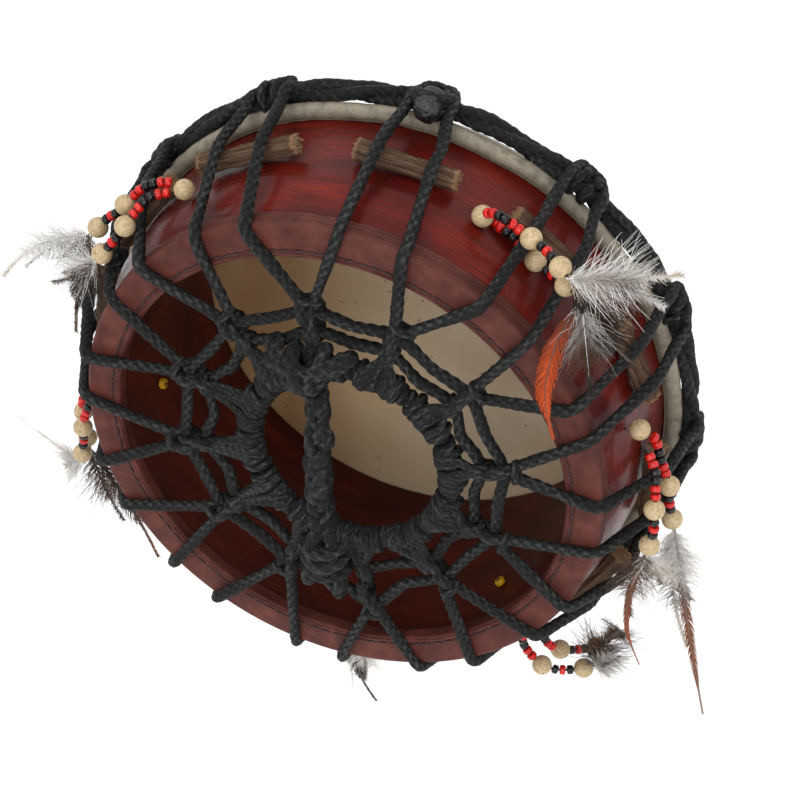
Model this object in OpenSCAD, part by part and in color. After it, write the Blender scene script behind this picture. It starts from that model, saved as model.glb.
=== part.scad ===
// Rope-laced frame drum with an open back, a braided hand grip, tuning sticks and beaded charms.
// Millimetres. The drum's axis is +Y, from the open back to the drum head, and +Z is up.
// The origin is on the drum's axis in the plane of the lacing, at the centre of the hand hold.
// Angles are clock angles: 0 is up, and they grow clockwise for a player who looks along +Y.

/* [Shell] */
// Inner radius of the shell at its open back
shell_ri = 141; // [130:1:150]
// Outer radius at the rear corner, under the leather
shell_rear_r = 159.5; // [155:0.5:162]
// Outer radius where the straight cone of the outside starts
cone_r = 168; // [166:0.5:170]
// Outer radius at the hoop, where the cone ends
hoop_seat_r = 171; // [169:0.5:172]
// Radius of the front bearing edge
bearing_r = 147; // [145:1:150]
// Distance from the lacing plane to the front bearing edge
shell_front_y = 146; // [140:1:150]

/* [Leather] */
// Thickness of the leather round the rear rim
leather_t = 1.5; // [1:0.1:2]
// How far the leather reaches along the outside of the shell
leather_skirt = 13; // [8:1:20]
// Number of stitches round the inner lip
stitch_count = 120; // [60:12:180]

/* [Head] */
// Thickness of the rawhide
hide_t = 1.2; // [0.8:0.1:1.6]
// Radius of the wooden flesh hoop's section
hoop_tube = 4; // [3.5:0.1:4.5]
// Distance from the lacing plane to the flesh hoop
hoop_y = 103; // [100:0.5:108]

/* [Rope] */
// Radius of the lacing rope
rope = 3.2; // [2.5:0.1:3.4]
// Number of lacing pairs
pairs = 12; // [12:1:12]
// Angle of the first pair
first_pair = -24.5; // [-30:0.5:0]
// Half of the angle between a pair's two strands at the hoop
pair_hoop = 3.8; // [3:0.1:5]
// Radius of the circle on which the outer net cord's nodes lie
net_r = 100; // [95:1:105]
// Sideways offset of the net's centre
net_x = 4; // [0:0.5:6]
// Upward offset of the net's centre
net_z = 6.5; // [0:0.5:8]
// How far the bottom knot pulls its node outwards
knot_pull = 13; // [0:1:15]
// Radius of the second net cord at its nodes
second_r = 86.5; // [84:0.5:87]

/* [Grip] */
// Radius of the wrapped inner ring
grip_r = 62.5; // [58:0.5:66]
// Radius of the wrapped ring's section
wrap_tube = 5.6; // [5:0.1:6.5]
// Half of the braided handle's width
braid_half = 7.6; // [6:0.1:9]

/* [Sticks] */
// Radius of a tuning stick
stick_tube = 6.5; // [5.5:0.1:6.5]
// Usual length of a tuning stick
stick_len = 60; // [50:1:64]
// How much the sticks differ in length
stick_spread = 10; // [0:1:10]

/* [Charms] */
// Radius of a wooden bead
wood_bead = 6.25; // [5:0.05:6.5]
// Radius of a glass bead
glass_bead = 3; // [2.5:0.1:3.2]
// Length of a glass bead along its string
glass_len = 4; // [3.5:0.1:4.5]

/* [Hidden] */
$fn = 48;
// Each charm's hole in the shell: its angle, and its distance from the lacing plane
CHARM_HOLES = [[-37.3, 42], [24.2, 47], [76.6, 41], [139.2, 43], [200.6, 43], [261.2, 56]];
// Where each pair's two strands cross the rear corner, in degrees from the pair's own angle
CORNERS = [[-6, 6], [-4, 9.5], [-2.5, 9], [-4, 4], [-9.5, 3], [-9, 3], [-8.5, 5.5], [-6, 5], [-4.5, 8],
    [-4, 8], [-4, 7], [-4.5, 7.5]];
pitch = 360 / pairs;                    // angle from one pair to the next
gap = 0.3;                              // clearance between bodies
rim_y = rope;                           // outside face of the leather on the rear rim
wood_rear_y = rim_y + leather_t;        // rear face of the wood
cone_y0 = 45;                           // the straight cone of the outside starts here
cone_y1 = 102;                          // and ends here
cone_slope = (hoop_seat_r - cone_r) / (cone_y1 - cone_y0);
stick_y = 60;                           // sticks sit here along the shell
stick_seat = cone_r + (stick_y - cone_y0) * cone_slope;
stick_axis_r = stick_seat + stick_tube + gap + 0.2;
stick_rope_r = (stick_axis_r + stick_tube + gap + rope) / cos(5.2) + 0.2;
hoop_r = hoop_seat_r + hoop_tube + hide_t;          // centre line of the flesh hoop
ring_tube = 5;                          // radius of the rope ring's section
ring_r = hoop_r + 7.5;                  // centre line of the rope ring
ring_y = hoop_y + 7;
tie_r = 0.7;                            // radius of a charm's string
hole_r = 1.5;                           // radius of a charm's hole in the shell
charm_r = cone_r + wood_bead + 1;       // where a charm's top bead turns
grip_x = 10;
grip_z = 8.5;
second_dip = 6;                         // the second cord comes this much inwards between nodes
loop_r = 2 * rope + 0.3;                // radius of a lacing loop round the outer net cord

function two(k) = str(k < 10 ? "0" : "", k);
function unit(v) = v / norm(v);
function clock(r, a, y = 0) = [r * sin(a), y, r * cos(a)];
function net(r, a, y = 0) = clock(r, a, y) + [net_x, 0, net_z];
function pair_at(k) = first_pair + (k - 1) * pitch;
function node_at(k) = pair_at(k) + pitch / 2;
function charm_at(k) = CHARM_HOLES[k - 1][0];
function charm_y(k) = CHARM_HOLES[k - 1][1];
function bottom(k) = (k + pairs) % pairs == 7 ? 1 : 0;      // the node under the bottom knot
function stick_half(k) = (stick_len - stick_spread * sin(35 * (k - 2))) / 2;
function pivot(k) = clock(charm_r, charm_at(k), charm_y(k));

// A smooth line through points, with steps points from each one to the next.
function spline(p, steps) = concat(
    [for (i = [0 : len(p) - 2]) for (j = [0 : steps - 1])
        let (t = j / steps,
             a = p[max(i - 1, 0)], b = p[i], c = p[i + 1], d = p[min(i + 2, len(p) - 1)])
        0.5 * (2 * b + (c - a) * t + (2 * a - 5 * b + 4 * c - d) * t * t
               + (3 * b - a - 3 * c + d) * t * t * t)],
    [p[len(p) - 1]]);

// Distance along a line to each of its points, and the point at a given distance.
function sums(p) = [for (i = 0, s = 0; i < len(p);
    s = i + 1 < len(p) ? s + norm(p[i + 1] - p[i]) : s, i = i + 1) s];
function along(p, s, at) = [for (k = [0 : 2]) lookup(at, [for (i = [0 : len(p) - 1]) [s[i], p[i][k]]])];

// Unit directions at a line's points, and a normal carried along them without twist.
function directions(p, closed) = let (n = len(p))
    [for (i = [0 : n - 1]) unit(closed ? p[(i + 1) % n] - p[(i + n - 1) % n]
        : p[min(i + 1, n - 1)] - p[max(i - 1, 0)])];
function level(v, t) = unit(v - t * (v * t));
function normals(t, first) = [for (i = 0, v = level(first, t[0]); i < len(t);
    i = i + 1, v = i < len(t) ? level(v, t[i]) : v) v];

// One closed tube along a line: sides facets round, radius r[i] at each point.
module tube(p, r, sides = 8, closed = false, first = [0, 1, 0]) {
    n = len(p);
    t = directions(p, closed);
    v = normals(t, first);
    last = closed ? level(v[n - 1], t[0]) : v[0];
    miss = closed ? atan2(cross(last, v[0]) * t[0], last * v[0]) : 0;
    step = 360 / sides;
    left = closed ? miss - round(miss / step) * step : 0;
    shift = closed ? round(miss / step) : 0;
    points = [for (i = [0 : n - 1]) let (w = cross(t[i], v[i]), turn = left * i / n)
        for (j = [0 : sides - 1]) let (a = j * step + turn)
            p[i] + r[i] * (cos(a) * v[i] + sin(a) * w)];
    rows = closed ? n : n - 1;
    walls = [for (i = [0 : rows - 1]) for (j = [0 : sides - 1])
        let (up = i + 1 < n ? 0 : shift, q = ((i + 1) % n) * sides,
             a = i * sides + j, b = i * sides + (j + 1) % sides,
             c = q + (j + 1 + up + sides) % sides, d = q + (j + up + sides) % sides)
        each [[c, b, a], [d, c, a]]];
    first_cap = [for (j = [0 : sides - 1]) j];
    last_cap = [for (j = [sides - 1 : -1 : 0]) (n - 1) * sides + j];
    polyhedron(points, closed ? walls : concat(walls, [first_cap, last_cap]));
}
module even_tube(p, r, sides = 8, closed = false, first = [0, 1, 0])
    tube(p, [for (i = p) r], sides, closed, first);

// A tube that swells from one radius at its ends to another in the middle, as a knot does.
module swollen(p, at_ends, in_middle) {
    line = spline(p, 4);
    last = len(line) - 1;
    tube(line, [for (i = [0 : last]) at_ends + (in_middle - at_ends) * sin(180 * i / last)], 12);
}

// Turns a profile drawn as [radius, distance along the axis] round the drum's axis.
module lathe(angle = 360, start = 0)
    rotate([-90, 0, 0]) rotate([0, 0, start]) rotate_extrude(angle = angle, $fn = 144) children();
module place(p) translate(p) children();
// Points +Z of its children along a direction.
module aim(d) rotate([0, acos(unit(d)[2]), atan2(d[1], d[0])]) children();

// --- shell, leather and head ---

outside = concat([[shell_rear_r, wood_rear_y]],
    spline([[shell_rear_r + 0.5, 17], [shell_rear_r + 5.5, 31], [cone_r, cone_y0]], 3),
    [[hoop_seat_r, cone_y1]],
    spline([[hoop_seat_r - 0.4, 110], [hoop_seat_r - 7, 126], [bearing_r + 7, 140],
            [bearing_r, shell_front_y]], 3));
inside = [[bearing_r - 4, shell_front_y - 1], [shell_ri, shell_front_y - 16]];

module shell_wood() {
    difference() {
        lathe() polygon(concat(outside, inside, [[shell_ri, wood_rear_y]]));
        for (k = [1 : 6]) rotate([0, charm_at(k), 0]) translate([0, charm_y(k), 100])
            cylinder(r = hole_r, h = 100);
    }
}
module shell() {
    color([0.45, 0.10, 0.07]) shell_wood();
}
module rear_binding() {
    corner = 3;
    outer = shell_rear_r + leather_t;
    profile = concat(
        [[shell_ri, rim_y + 9], [shell_ri - leather_t, rim_y + 9], [shell_ri - leather_t, rim_y + 1.2],
         [shell_ri - leather_t + 1.2, rim_y]],
        [for (a = [0 : 15 : 90]) [outer - corner + corner * sin(a), rim_y + corner - corner * cos(a)]],
        [[outer + 0.4, rim_y + leather_skirt], [shell_rear_r + 0.5, rim_y + leather_skirt],
         [shell_rear_r, wood_rear_y], [shell_ri, wood_rear_y]]);
    color([0.43, 0.22, 0.20]) lathe() polygon(profile);
}
module binding_stitching() {
    thread = 0.45;
    turn = 360 / stitch_count;
    color([0.12, 0.09, 0.09]) for (k = [0 : stitch_count - 1])
        lathe(turn * 0.62, k * turn) translate([shell_ri + 3.2, rim_y - thread]) circle(thread, $fn = 16);
}
module flesh_hoop() {
    color([0.62, 0.48, 0.32]) lathe() translate([hoop_r, hoop_y]) circle(hoop_tube);
}
module drum_head() {
    skin_r = hoop_tube + hide_t;
    over = [for (p = outside) if (p[1] > hoop_y) p];
    lifted = [for (i = [0 : len(over) - 2]) let (d = unit(over[i + 1] - over[max(i - 1, 0)]))
        over[i] + hide_t * [d[1], -d[0]] * (d[1] > 0 ? 1 : -1)];
    front = shell_front_y + hide_t;
    color([0.80, 0.72, 0.58]) union() {
        lathe() polygon(concat([[0, shell_front_y]], [[bearing_r, shell_front_y]],
            [for (i = [len(over) - 2 : -1 : 0]) over[i]],
            [[hoop_seat_r, hoop_y], [hoop_seat_r + hide_t, hoop_y]],
            [for (p = lifted) if (p[1] > hoop_y + 1) p], [[bearing_r + 2, front], [0, front]]));
        lathe() difference() {
            translate([hoop_r, hoop_y]) circle(skin_r);
            translate([hoop_r, hoop_y]) circle(hoop_tube);
            translate([hoop_r, hoop_y]) rotate(20) square(skin_r * 2);
        }
    }
}

// --- ropes ---

module rope_ring() {
    color([0.13, 0.14, 0.14]) union() {
        lathe() translate([ring_r, ring_y]) circle(ring_tube);
        lathe() translate([ring_r - 3.5, ring_y + 9]) circle(ring_tube - 0.4);
    }
}
module ring_knot() {
    color([0.12, 0.13, 0.13]) place(clock(ring_r + 7, pair_at(2) + 1, ring_y - 9))
        swollen([[-11, 7, 3], [-5, 4, 1], [0, 0, 0], [1, -6, 0], [0, -13, 0]], 5.2, 8.6);
}
// The two halves of a pair, from the outer net cord to the hoop. A pair whose corners lie off to one side
// leans, so its stick and its place on the hoop follow part of the way.
function corner(k, side) = CORNERS[k - 1][side > 0 ? 1 : 0];
function lean(k) = (corner(k, -1) + corner(k, 1)) / 2;
function hoop_off(k, side) = side * pair_hoop + 0.4 * lean(k);
function stick_off(k, side) = 0.45 * corner(k, side) + 0.55 * hoop_off(k, side);
function stick_at(k) = pair_at(k) + 0.7 * lean(k);
function strand(k, side) = let (a = pair_at(k), from = a + side * pitch / 2, out = ring_r + ring_tube + rope) [
    net(net_r + bottom(side > 0 ? k : k - 1) * knot_pull + 8, from - side * 2, -0.6),
    clock(shell_rear_r - 3, a + corner(k, side) + side * 0.3, 0),
    clock(shell_rear_r + 1, a + corner(k, side), 0.6),
    clock(shell_rear_r + 3.6, a + corner(k, side), 2.8),
    clock(shell_rear_r + 5.4, a + corner(k, side), 7),
    clock(stick_rope_r - 1.6, a + stick_off(k, side), stick_y - 7),
    clock(stick_rope_r, a + stick_off(k, side), stick_y),
    clock(stick_rope_r + 0.6, a + stick_off(k, side), stick_y + 8),
    clock(out - 3.4, a + hoop_off(k, side), hoop_y - 8),
    clock(out, a + hoop_off(k, side), hoop_y + 2),
    clock(out + 0.3, a + hoop_off(k, side) - side * 0.8, ring_y + 4)];
function loop(k) = let (a = node_at(k), r = net_r + bottom(k) * knot_pull) [for (i = [0 : 4])
    let (turn = i * 45) net(r - loop_r * sin(turn), a - 2.4 + i * 1.2, -loop_r * cos(turn))];
function back(p) = [for (i = [len(p) - 1 : -1 : 0]) p[i]];
lacing_line = [for (k = [1 : pairs]) each concat(strand(k, -1), back(strand(k, 1)), loop(k))];

module lacing() {
    color([0.13, 0.14, 0.14]) even_tube(lacing_line, rope, 8, true);
}
module outer_net_cord() {
    line = [for (k = [1 : pairs]) let (a = node_at(k), r = net_r + bottom(k) * knot_pull)
        each [net(r, a - 3), net(r, a + 3), net(net_r - 3, a + pitch / 2)]];
    color([0.15, 0.16, 0.16]) even_tube(line, rope, 8, true);
}
module second_net_cord() {
    line = [for (k = [1 : pairs]) let (a = node_at(k))
        each [net(second_r, a - 4), net(second_r, a + 4), net(second_r - second_dip, a + pitch / 2)]];
    color([0.16, 0.17, 0.17]) even_tube(line, rope, 8, true);
}
module grip_ring_core() {
    color([0.10, 0.10, 0.10]) translate([grip_x, 0, grip_z]) lathe()
        translate([grip_r, 0]) circle(wrap_tube - 2.4);
}
module grip_ring_wrap() {
    color([0.15, 0.16, 0.16]) translate([grip_x, 0, grip_z]) lathe() translate([grip_r, 0]) difference() {
        circle(wrap_tube);
        circle(wrap_tube - 2.4);
    }
}
// Rope webs hitch the wrapped ring to the second net cord at each node.
module grip_hitches() {
    color([0.15, 0.16, 0.16]) for (k = [1 : pairs]) {
        out = net(second_r - rope, node_at(k));
        centre = [grip_x, 0, grip_z];
        from = centre + (grip_r + wrap_tube - 1) * unit(out - centre);
        place(from) aim(out - from) cylinder(r1 = 8, r2 = 3.6, h = norm(out - from), $fn = 32);
    }
}
grip_top = [-11, -3, 70];
grip_low = [-5, -3, -62];
module handle_braid() {
    steps = 26;
    line = [for (i = [0 : steps]) let (t = i / steps)
        grip_top + (grip_low - grip_top) * t + [1.6 * sin(t * 900), -3 * sin(t * 180), 0]];
    color([0.14, 0.15, 0.15])
        tube(line, [for (i = [0 : steps]) braid_half * (1 + 0.09 * sin(i / steps * 1800))], 10);
}
module handle_top_knot() {
    color([0.14, 0.15, 0.15]) place(grip_top)
        swollen([[-24, -2, 1], [-11, -6, 4], [2, -7, 2], [14, -5, 7], [26, -2, 9]], 5, 11);
}
module handle_bottom_knot() {
    color([0.14, 0.15, 0.15]) place(grip_low)
        swollen([[-6, -3, 0], [0, -6, -8], [2, -7, -17], [3, -5, -26], [8, -2, -35]], 6, 12);
}

// --- tuning sticks ---

module stick(k) {
    half = stick_half(k);
    r = stick_tube;
    color([0.40, 0.31, 0.24]) rotate([0, stick_at(k), 0]) translate([0, stick_y, stick_axis_r])
        rotate([0, 90, 0]) rotate_extrude() polygon([[0, -half], [r * 0.86, -half], [r * 0.97, -half + 3],
            [r * 0.9, -half * 0.4], [r, half * 0.25], [r * 0.93, half * 0.7], [r * 0.98, half - 2],
            [r * 0.9, half], [0, half]]);
}

// --- charms ---

// Each charm has two strings. Their points are measured from the top bead's centre, where they start.
ROUTES = [
    [[[0, 0, 0], [-10, 1, 2], [-18, 0, 0], [-26, -2, -4], [-34, -6, -13], [-40, -8, -20], [-47, -7, -26],
      [-58, -9, -39]],
     [[0, 0, 0], [-10, -4, -2], [-18, -8, -4], [-23, -13, -9], [-27, -20, -15], [-31, -25, -22], [-37, -26, -30],
      [-48, -24, -45]]],
    [[[0, 0, 0], [5, -6, 7], [9, -8, 9], [16, -12, 10], [20, -11, 7], [29, -12, 2], [40, -18, 1], [50, -26, -1],
      [59, -33, -4]],
     [[0, 0, 0], [5, 6, -6], [9, 4, -8], [17, 1, -10], [24, -1, -15], [32, -4, -19], [39, -7, -22], [47, -12, -22],
      [55, -19, -21], [64, -22, -24]]],
    [[[0, 0, 0], [8, 3, -6], [12, 1, -14], [15, 0, -22], [20, -1, -34], [21, -1, -46], [23, 1, -60], [24, 3, -71]],
     [[0, 0, 0], [4, -4, -6], [9, -8, -11], [14, -13, -18], [16, -18, -25], [17, -20, -31], [17, -21, -39],
      [18, -22, -52], [16, -22, -65], [14, -22, -72]]],
    [[[0, 0, 0], [-6, -2, -8], [-8, 0, -15], [-7, 1, -22], [-2, 1, -29], [5, 0, -34], [14, 1, -36], [23, 4, -36],
      [30, 8, -36], [37, 12, -35]],
     [[0, 0, 0], [1, 7, -8], [1, 9, -13], [3, 10, -20], [6, 12, -27], [11, 17, -34], [18, 23, -38], [25, 30, -41],
      [33, 38, -43], [38, 45, -42]]],
    [[[0, 0, 0], [4, 1, -9], [6, 7, -18], [10, 16, -27], [18, 23, -36], [28, 30, -43], [38, 36, -50], [44, 39, -54]],
     [[0, 0, 0], [-3, 3, -8], [-6, 10, -16], [-6, 20, -23], [0, 30, -30], [10, 38, -37], [20, 45, -44],
      [30, 51, -51]]],
    [[[0, 0, 0], [-6, -7, -7], [-10, -11, -15], [-14, -12, -24], [-17, -12, -37], [-18, -10, -46], [-20, -9, -55],
      [-23, -7, -70]],
     [[0, 0, 0], [-10, -2, -6], [-16, -3, -12], [-20, -3, -21], [-22, 0, -33], [-23, 2, -42], [-24, 5, -55],
      [-23, 6, -70]]]
];
// Feathers of each charm: the string it hangs from, its tip from the top bead's centre, and its width.
FEATHERS = [
    [[0, [-126, -2, -92], 13], [0, [-70, -18, -108], 11], [1, [-80, -8, -74], 16]],
    [[0, [116, -4, -8], 15], [1, [67, -74, -82], 10], [1, [76, -34, -54], 14], [0, [102, -12, -76], 15]],
    [[0, [55, -4, -209], 9], [0, [40, -4, -117], 12], [1, [6, -8, -141], 16], [1, [14, -10, -174], 5]],
    [[0, [50, -6, -22], 12], [0, [44, 4, 14], 17], [1, [38, -4, 35], 11]],
    [[0, [55, 40, -119], 13], [1, [36, 44, -118], 10]],
    [[0, [-35, -8, -76], 13], [0, [-72, 0, -50], 5], [1, [23, 0, -145], 14]]
];
// Bare string between the top bead and the next one, for each charm's two strings
BARE = [[2, 2], [2, 2], [2, 8], [2, 2], [2, 2], [2, 2]];
WOOD = 0;
RED = 1;
BLACK = 2;
// The beads of one string, from its top bead down.
BEADS = [RED, RED, BLACK, BLACK, RED, RED, WOOD, BLACK, RED, BLACK, WOOD];
function bead_len(kind) = kind == WOOD ? 2 * wood_bead + 0.2 : glass_len + 0.7;
function bead_starts(first) = [for (i = 0, s = first; i < len(BEADS); s = s + bead_len(BEADS[i]), i = i + 1)
    s + bead_len(BEADS[i]) / 2];

module glass_ring() {
    r = glass_bead;
    h = glass_len / 2;
    rotate_extrude($fn = 24) polygon([[1.1, -h], [r - 1.2, -h], [r - 0.4, -h + 0.8], [r, 0],
        [r - 0.4, h - 0.8], [r - 1.2, h], [1.1, h]]);
}
module string_beads(k, kind) {
    for (side = [0, 1]) {
        line = spline(ROUTES[k - 1][side], 6);
        s = sums(line);
        starts = bead_starts(wood_bead + BARE[k - 1][side]);
        for (i = [0 : len(BEADS) - 1]) if (BEADS[i] == kind && starts[i] < s[len(s) - 1] + 3)
            place(along(line, s, starts[i]))
                aim(along(line, s, starts[i]) - along(line, s, starts[i] - 2))
                    if (kind == WOOD) sphere(wood_bead, $fn = 32);
                    else glass_ring();
    }
}
module charm_string(k) {
    color([0.35, 0.12, 0.10]) place(pivot(k)) union()
        for (route = ROUTES[k - 1]) even_tube(spline([for (i = [1 : len(route) - 1]) route[i]], 2), tie_r, 8);
}
module charm_wood(k) {
    color([0.78, 0.68, 0.54]) place(pivot(k)) {
        sphere(wood_bead, $fn = 32);
        string_beads(k, WOOD);
    }
}
module charm_red(k) {
    color([0.78, 0.14, 0.12]) place(pivot(k)) string_beads(k, RED);
}
module charm_black(k) {
    color([0.05, 0.05, 0.06]) place(pivot(k)) string_beads(k, BLACK);
}
module feather(base, tip, width) {
    long = norm(tip - base);
    place(base) aim(tip - base) rotate([0, -90, 0]) translate([0, 0, -0.4]) linear_extrude(0.8)
        polygon([[0, 0.8], [long * 0.2, width * 0.42], [long * 0.5, width * 0.5], [long * 0.8, width * 0.3],
            [long, 0.5], [long, -0.5], [long * 0.8, -width * 0.3], [long * 0.5, -width * 0.5],
            [long * 0.2, -width * 0.42], [0, -0.8]]);
}
module charm_feathers(k) {
    color([0.55, 0.48, 0.42]) place(pivot(k)) for (f = FEATHERS[k - 1]) {
        route = ROUTES[k - 1][f[0]];
        feather(route[len(route) - 1], f[1], f[2]);
    }
}
module stopper_beads() {
    color([0.80, 0.62, 0.10]) for (k = [1 : 6]) rotate([0, charm_at(k), 0])
        translate([0, charm_y(k), shell_ri - glass_len / 2 - 0.6]) glass_ring();
}
module hole_ties() {
    low = shell_ri - glass_len - 1.5;
    color([0.35, 0.12, 0.10]) for (k = [1 : 6]) rotate([0, charm_at(k), 0]) translate([0, charm_y(k), low])
        cylinder(r = tie_r, h = cone_r - low - 0.4, $fn = 16);
}

STICKS = [for (k = [1 : pairs]) str("stick_", two(k))];
CHARM_PARTS = ["string", "wood_beads", "red_beads", "black_beads", "feathers"];
CHARMS = [for (k = [1 : 6]) for (part = CHARM_PARTS) str("charm_", k, "_", part)];

shell();
rear_binding();
binding_stitching();
flesh_hoop();
drum_head();
rope_ring();
ring_knot();
lacing();
outer_net_cord();
second_net_cord();
grip_ring_core();
grip_ring_wrap();
grip_hitches();
handle_braid();
handle_top_knot();
handle_bottom_knot();
stopper_beads();
hole_ties();
for (k = [1 : pairs])
    stick(k);
for (k = [1 : 6]) {
    charm_string(k);
    charm_wood(k);
    charm_red(k);
    charm_black(k);
    charm_feathers(k);
}
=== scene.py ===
"""A rope-laced frame drum with an open back: the looks of each piece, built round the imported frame.

The drum's axis is +Y, from the open back to the head, and +Z is up. Lengths are in millimetres, as in the
part's source, until piece() turns them into metres. Angles are clock angles in degrees: 0 is up.
"""
import math

import bpy
import numpy as np
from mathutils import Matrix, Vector


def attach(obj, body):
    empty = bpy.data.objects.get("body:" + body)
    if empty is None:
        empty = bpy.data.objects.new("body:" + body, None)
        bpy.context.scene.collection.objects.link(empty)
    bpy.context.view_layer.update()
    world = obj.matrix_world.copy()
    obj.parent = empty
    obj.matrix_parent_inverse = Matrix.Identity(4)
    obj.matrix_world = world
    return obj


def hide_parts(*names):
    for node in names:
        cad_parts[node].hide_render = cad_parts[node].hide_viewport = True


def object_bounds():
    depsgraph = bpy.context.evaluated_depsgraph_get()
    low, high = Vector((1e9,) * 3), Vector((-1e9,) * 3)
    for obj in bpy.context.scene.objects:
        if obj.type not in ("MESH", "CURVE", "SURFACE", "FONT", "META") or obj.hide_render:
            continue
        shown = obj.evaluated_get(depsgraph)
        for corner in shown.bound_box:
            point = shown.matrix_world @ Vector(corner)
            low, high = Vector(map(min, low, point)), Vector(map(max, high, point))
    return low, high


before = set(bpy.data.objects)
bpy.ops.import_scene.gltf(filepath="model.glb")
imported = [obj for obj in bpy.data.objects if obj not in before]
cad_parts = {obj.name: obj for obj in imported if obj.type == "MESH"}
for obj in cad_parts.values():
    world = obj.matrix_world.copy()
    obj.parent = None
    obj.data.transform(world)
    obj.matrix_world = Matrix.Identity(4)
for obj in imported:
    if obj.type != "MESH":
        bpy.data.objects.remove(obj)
cad_low, cad_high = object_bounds()
MM = 0.001

# The part's own sizes.
SHELL_RI = 141.0
REAR_R, CONE_R, SEAT_R, BEARING_R = 159.5, 168.0, 171.0, 147.0
CONE_Y0, CONE_Y1, FRONT_Y = 45.0, 102.0, 146.0
LEATHER, SKIRT, HIDE = 1.5, 13.0, 1.2
HOOP_TUBE, HOOP_Y = 4.0, 103.0
ROPE, PAIRS, FIRST_PAIR, PITCH = 3.2, 12, -24.5, 30.0
PAIR_HOOP = 3.8
# Where each pair's two strands cross the rear corner, in degrees from the pair's own angle.
CORNERS = [(-6, 6), (-4, 9.5), (-2.5, 9), (-4, 4), (-9.5, 3), (-9, 3),
           (-8.5, 5.5), (-6, 5), (-4.5, 8), (-4, 8), (-4, 7), (-4.5, 7.5)]
NET_R, NET_X, NET_Z, KNOT_PULL = 100.0, 4.0, 6.5, 13.0
SECOND_R, SECOND_DIP = 86.5, 6.0
GRIP_R, GRIP_X, GRIP_Z, WRAP_TUBE = 62.5, 10.0, 8.5, 5.6
STICK_TUBE, STICK_LEN, STICK_SPREAD, STICK_Y = 6.5, 60.0, 10.0, 60.0
WOOD_BEAD, GLASS_BEAD, GLASS_LEN = 6.25, 3.0, 4.0
# Each charm's hole in the shell: its angle, and its distance from the lacing plane.
CHARM_HOLES = [(-37.3, 42), (24.2, 47), (76.6, 41), (139.2, 43), (200.6, 43), (261.2, 56)]
# Bare string between the top bead and the next one, for each charm's two strings.
BARE = [(2, 2), (2, 2), (2, 8), (2, 2), (2, 2), (2, 2)]
RIM_Y = ROPE
WOOD_REAR_Y = RIM_Y + LEATHER
CONE_SLOPE = (SEAT_R - CONE_R) / (CONE_Y1 - CONE_Y0)
STICK_AXIS_R = CONE_R + (STICK_Y - CONE_Y0) * CONE_SLOPE + STICK_TUBE + 0.5
STICK_ROPE_R = (STICK_AXIS_R + STICK_TUBE + 0.3 + ROPE) / math.cos(math.radians(5.2)) + 0.2
HOOP_R = SEAT_R + HOOP_TUBE + HIDE
RING_TUBE, RING_R, RING_Y = 5.0, HOOP_R + 7.5, HOOP_Y + 7.0
CHARM_R = CONE_R + WOOD_BEAD + 1.0
SEAM_R = SHELL_RI + 3.2
GRIP_TOP = np.array([-11.0, -3.0, 70.0])
GRIP_LOW = np.array([-5.0, -3.0, -62.0])
# Random phases run from 0 to this angle, in radians.
ROUND = 6.28


def clock(r, a, y=0.0):
    return np.array([r * math.sin(math.radians(a)), y, r * math.cos(math.radians(a))])


def net(r, a, y=0.0):
    return clock(r, a, y) + [NET_X, 0, NET_Z]


def sideways(a):
    """The level direction across the clock angle a."""
    return np.cross(clock(1, a), [0, 1, 0])


def pair_at(k):
    return FIRST_PAIR + (k - 1) * PITCH


def node_at(k):
    return pair_at(k) + PITCH / 2


def corner(k, side):
    return CORNERS[k - 1][side > 0]


def lean(k):
    return (corner(k, -1) + corner(k, 1)) / 2


def hoop_off(k, side):
    return side * PAIR_HOOP + 0.4 * lean(k)


def stick_off(k, side):
    return 0.45 * corner(k, side) + 0.55 * hoop_off(k, side)


def stick_at(k):
    return pair_at(k) + 0.7 * lean(k)


def node_r(k):
    return NET_R + (KNOT_PULL if k % PAIRS == 7 else 0)


def pivot(k):
    return clock(CHARM_R, *CHARM_HOLES[k - 1])


# --- lines -------------------------------------------------------------------------------------------


def angles(count):
    """count angles round a full turn, in radians."""
    return np.arange(count) * 2 * math.pi / count


def spline(points, steps):
    """A smooth line through the points, with steps points from each one to the next."""
    p = [np.array(q, float) for q in points]
    out = []
    for i in range(len(p) - 1):
        a, b, c, d = p[max(i - 1, 0)], p[i], p[i + 1], p[min(i + 2, len(p) - 1)]
        for j in range(steps):
            t = j / steps
            out.append(0.5 * (2 * b + (c - a) * t + (2 * a - 5 * b + 4 * c - d) * t * t
                              + (3 * b - a - 3 * c + d) * t ** 3))
    return np.array(out + [p[-1]])


def lengths(line):
    return np.concatenate([[0], np.cumsum(np.linalg.norm(np.diff(line, axis=0), axis=1))])


def even(line, gap, closed=False):
    """The line again, with points about gap apart."""
    line = np.asarray(line, float)
    if closed:
        line = np.vstack([line, line[:1]])
    s = lengths(line)
    n = max(int(round(s[-1] / gap)), 2)
    at = np.linspace(0, s[-1], n + 1)
    out = np.column_stack([np.interp(at, s, line[:, k]) for k in range(3)])
    return out[:-1] if closed else out


def rounded(line, gap, times, closed=False):
    """An even line whose corners are rounded off."""
    out = even(line, gap, closed)
    for _ in range(times):
        if closed:
            out = (np.roll(out, 1, 0) + 2 * out + np.roll(out, -1, 0)) / 4
        else:
            out[1:-1] = (out[:-2] + 2 * out[1:-1] + out[2:]) / 4
    return out


def along(line, at):
    s = lengths(line)
    return np.array([np.interp(at, s, line[:, k]) for k in range(3)])


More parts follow.
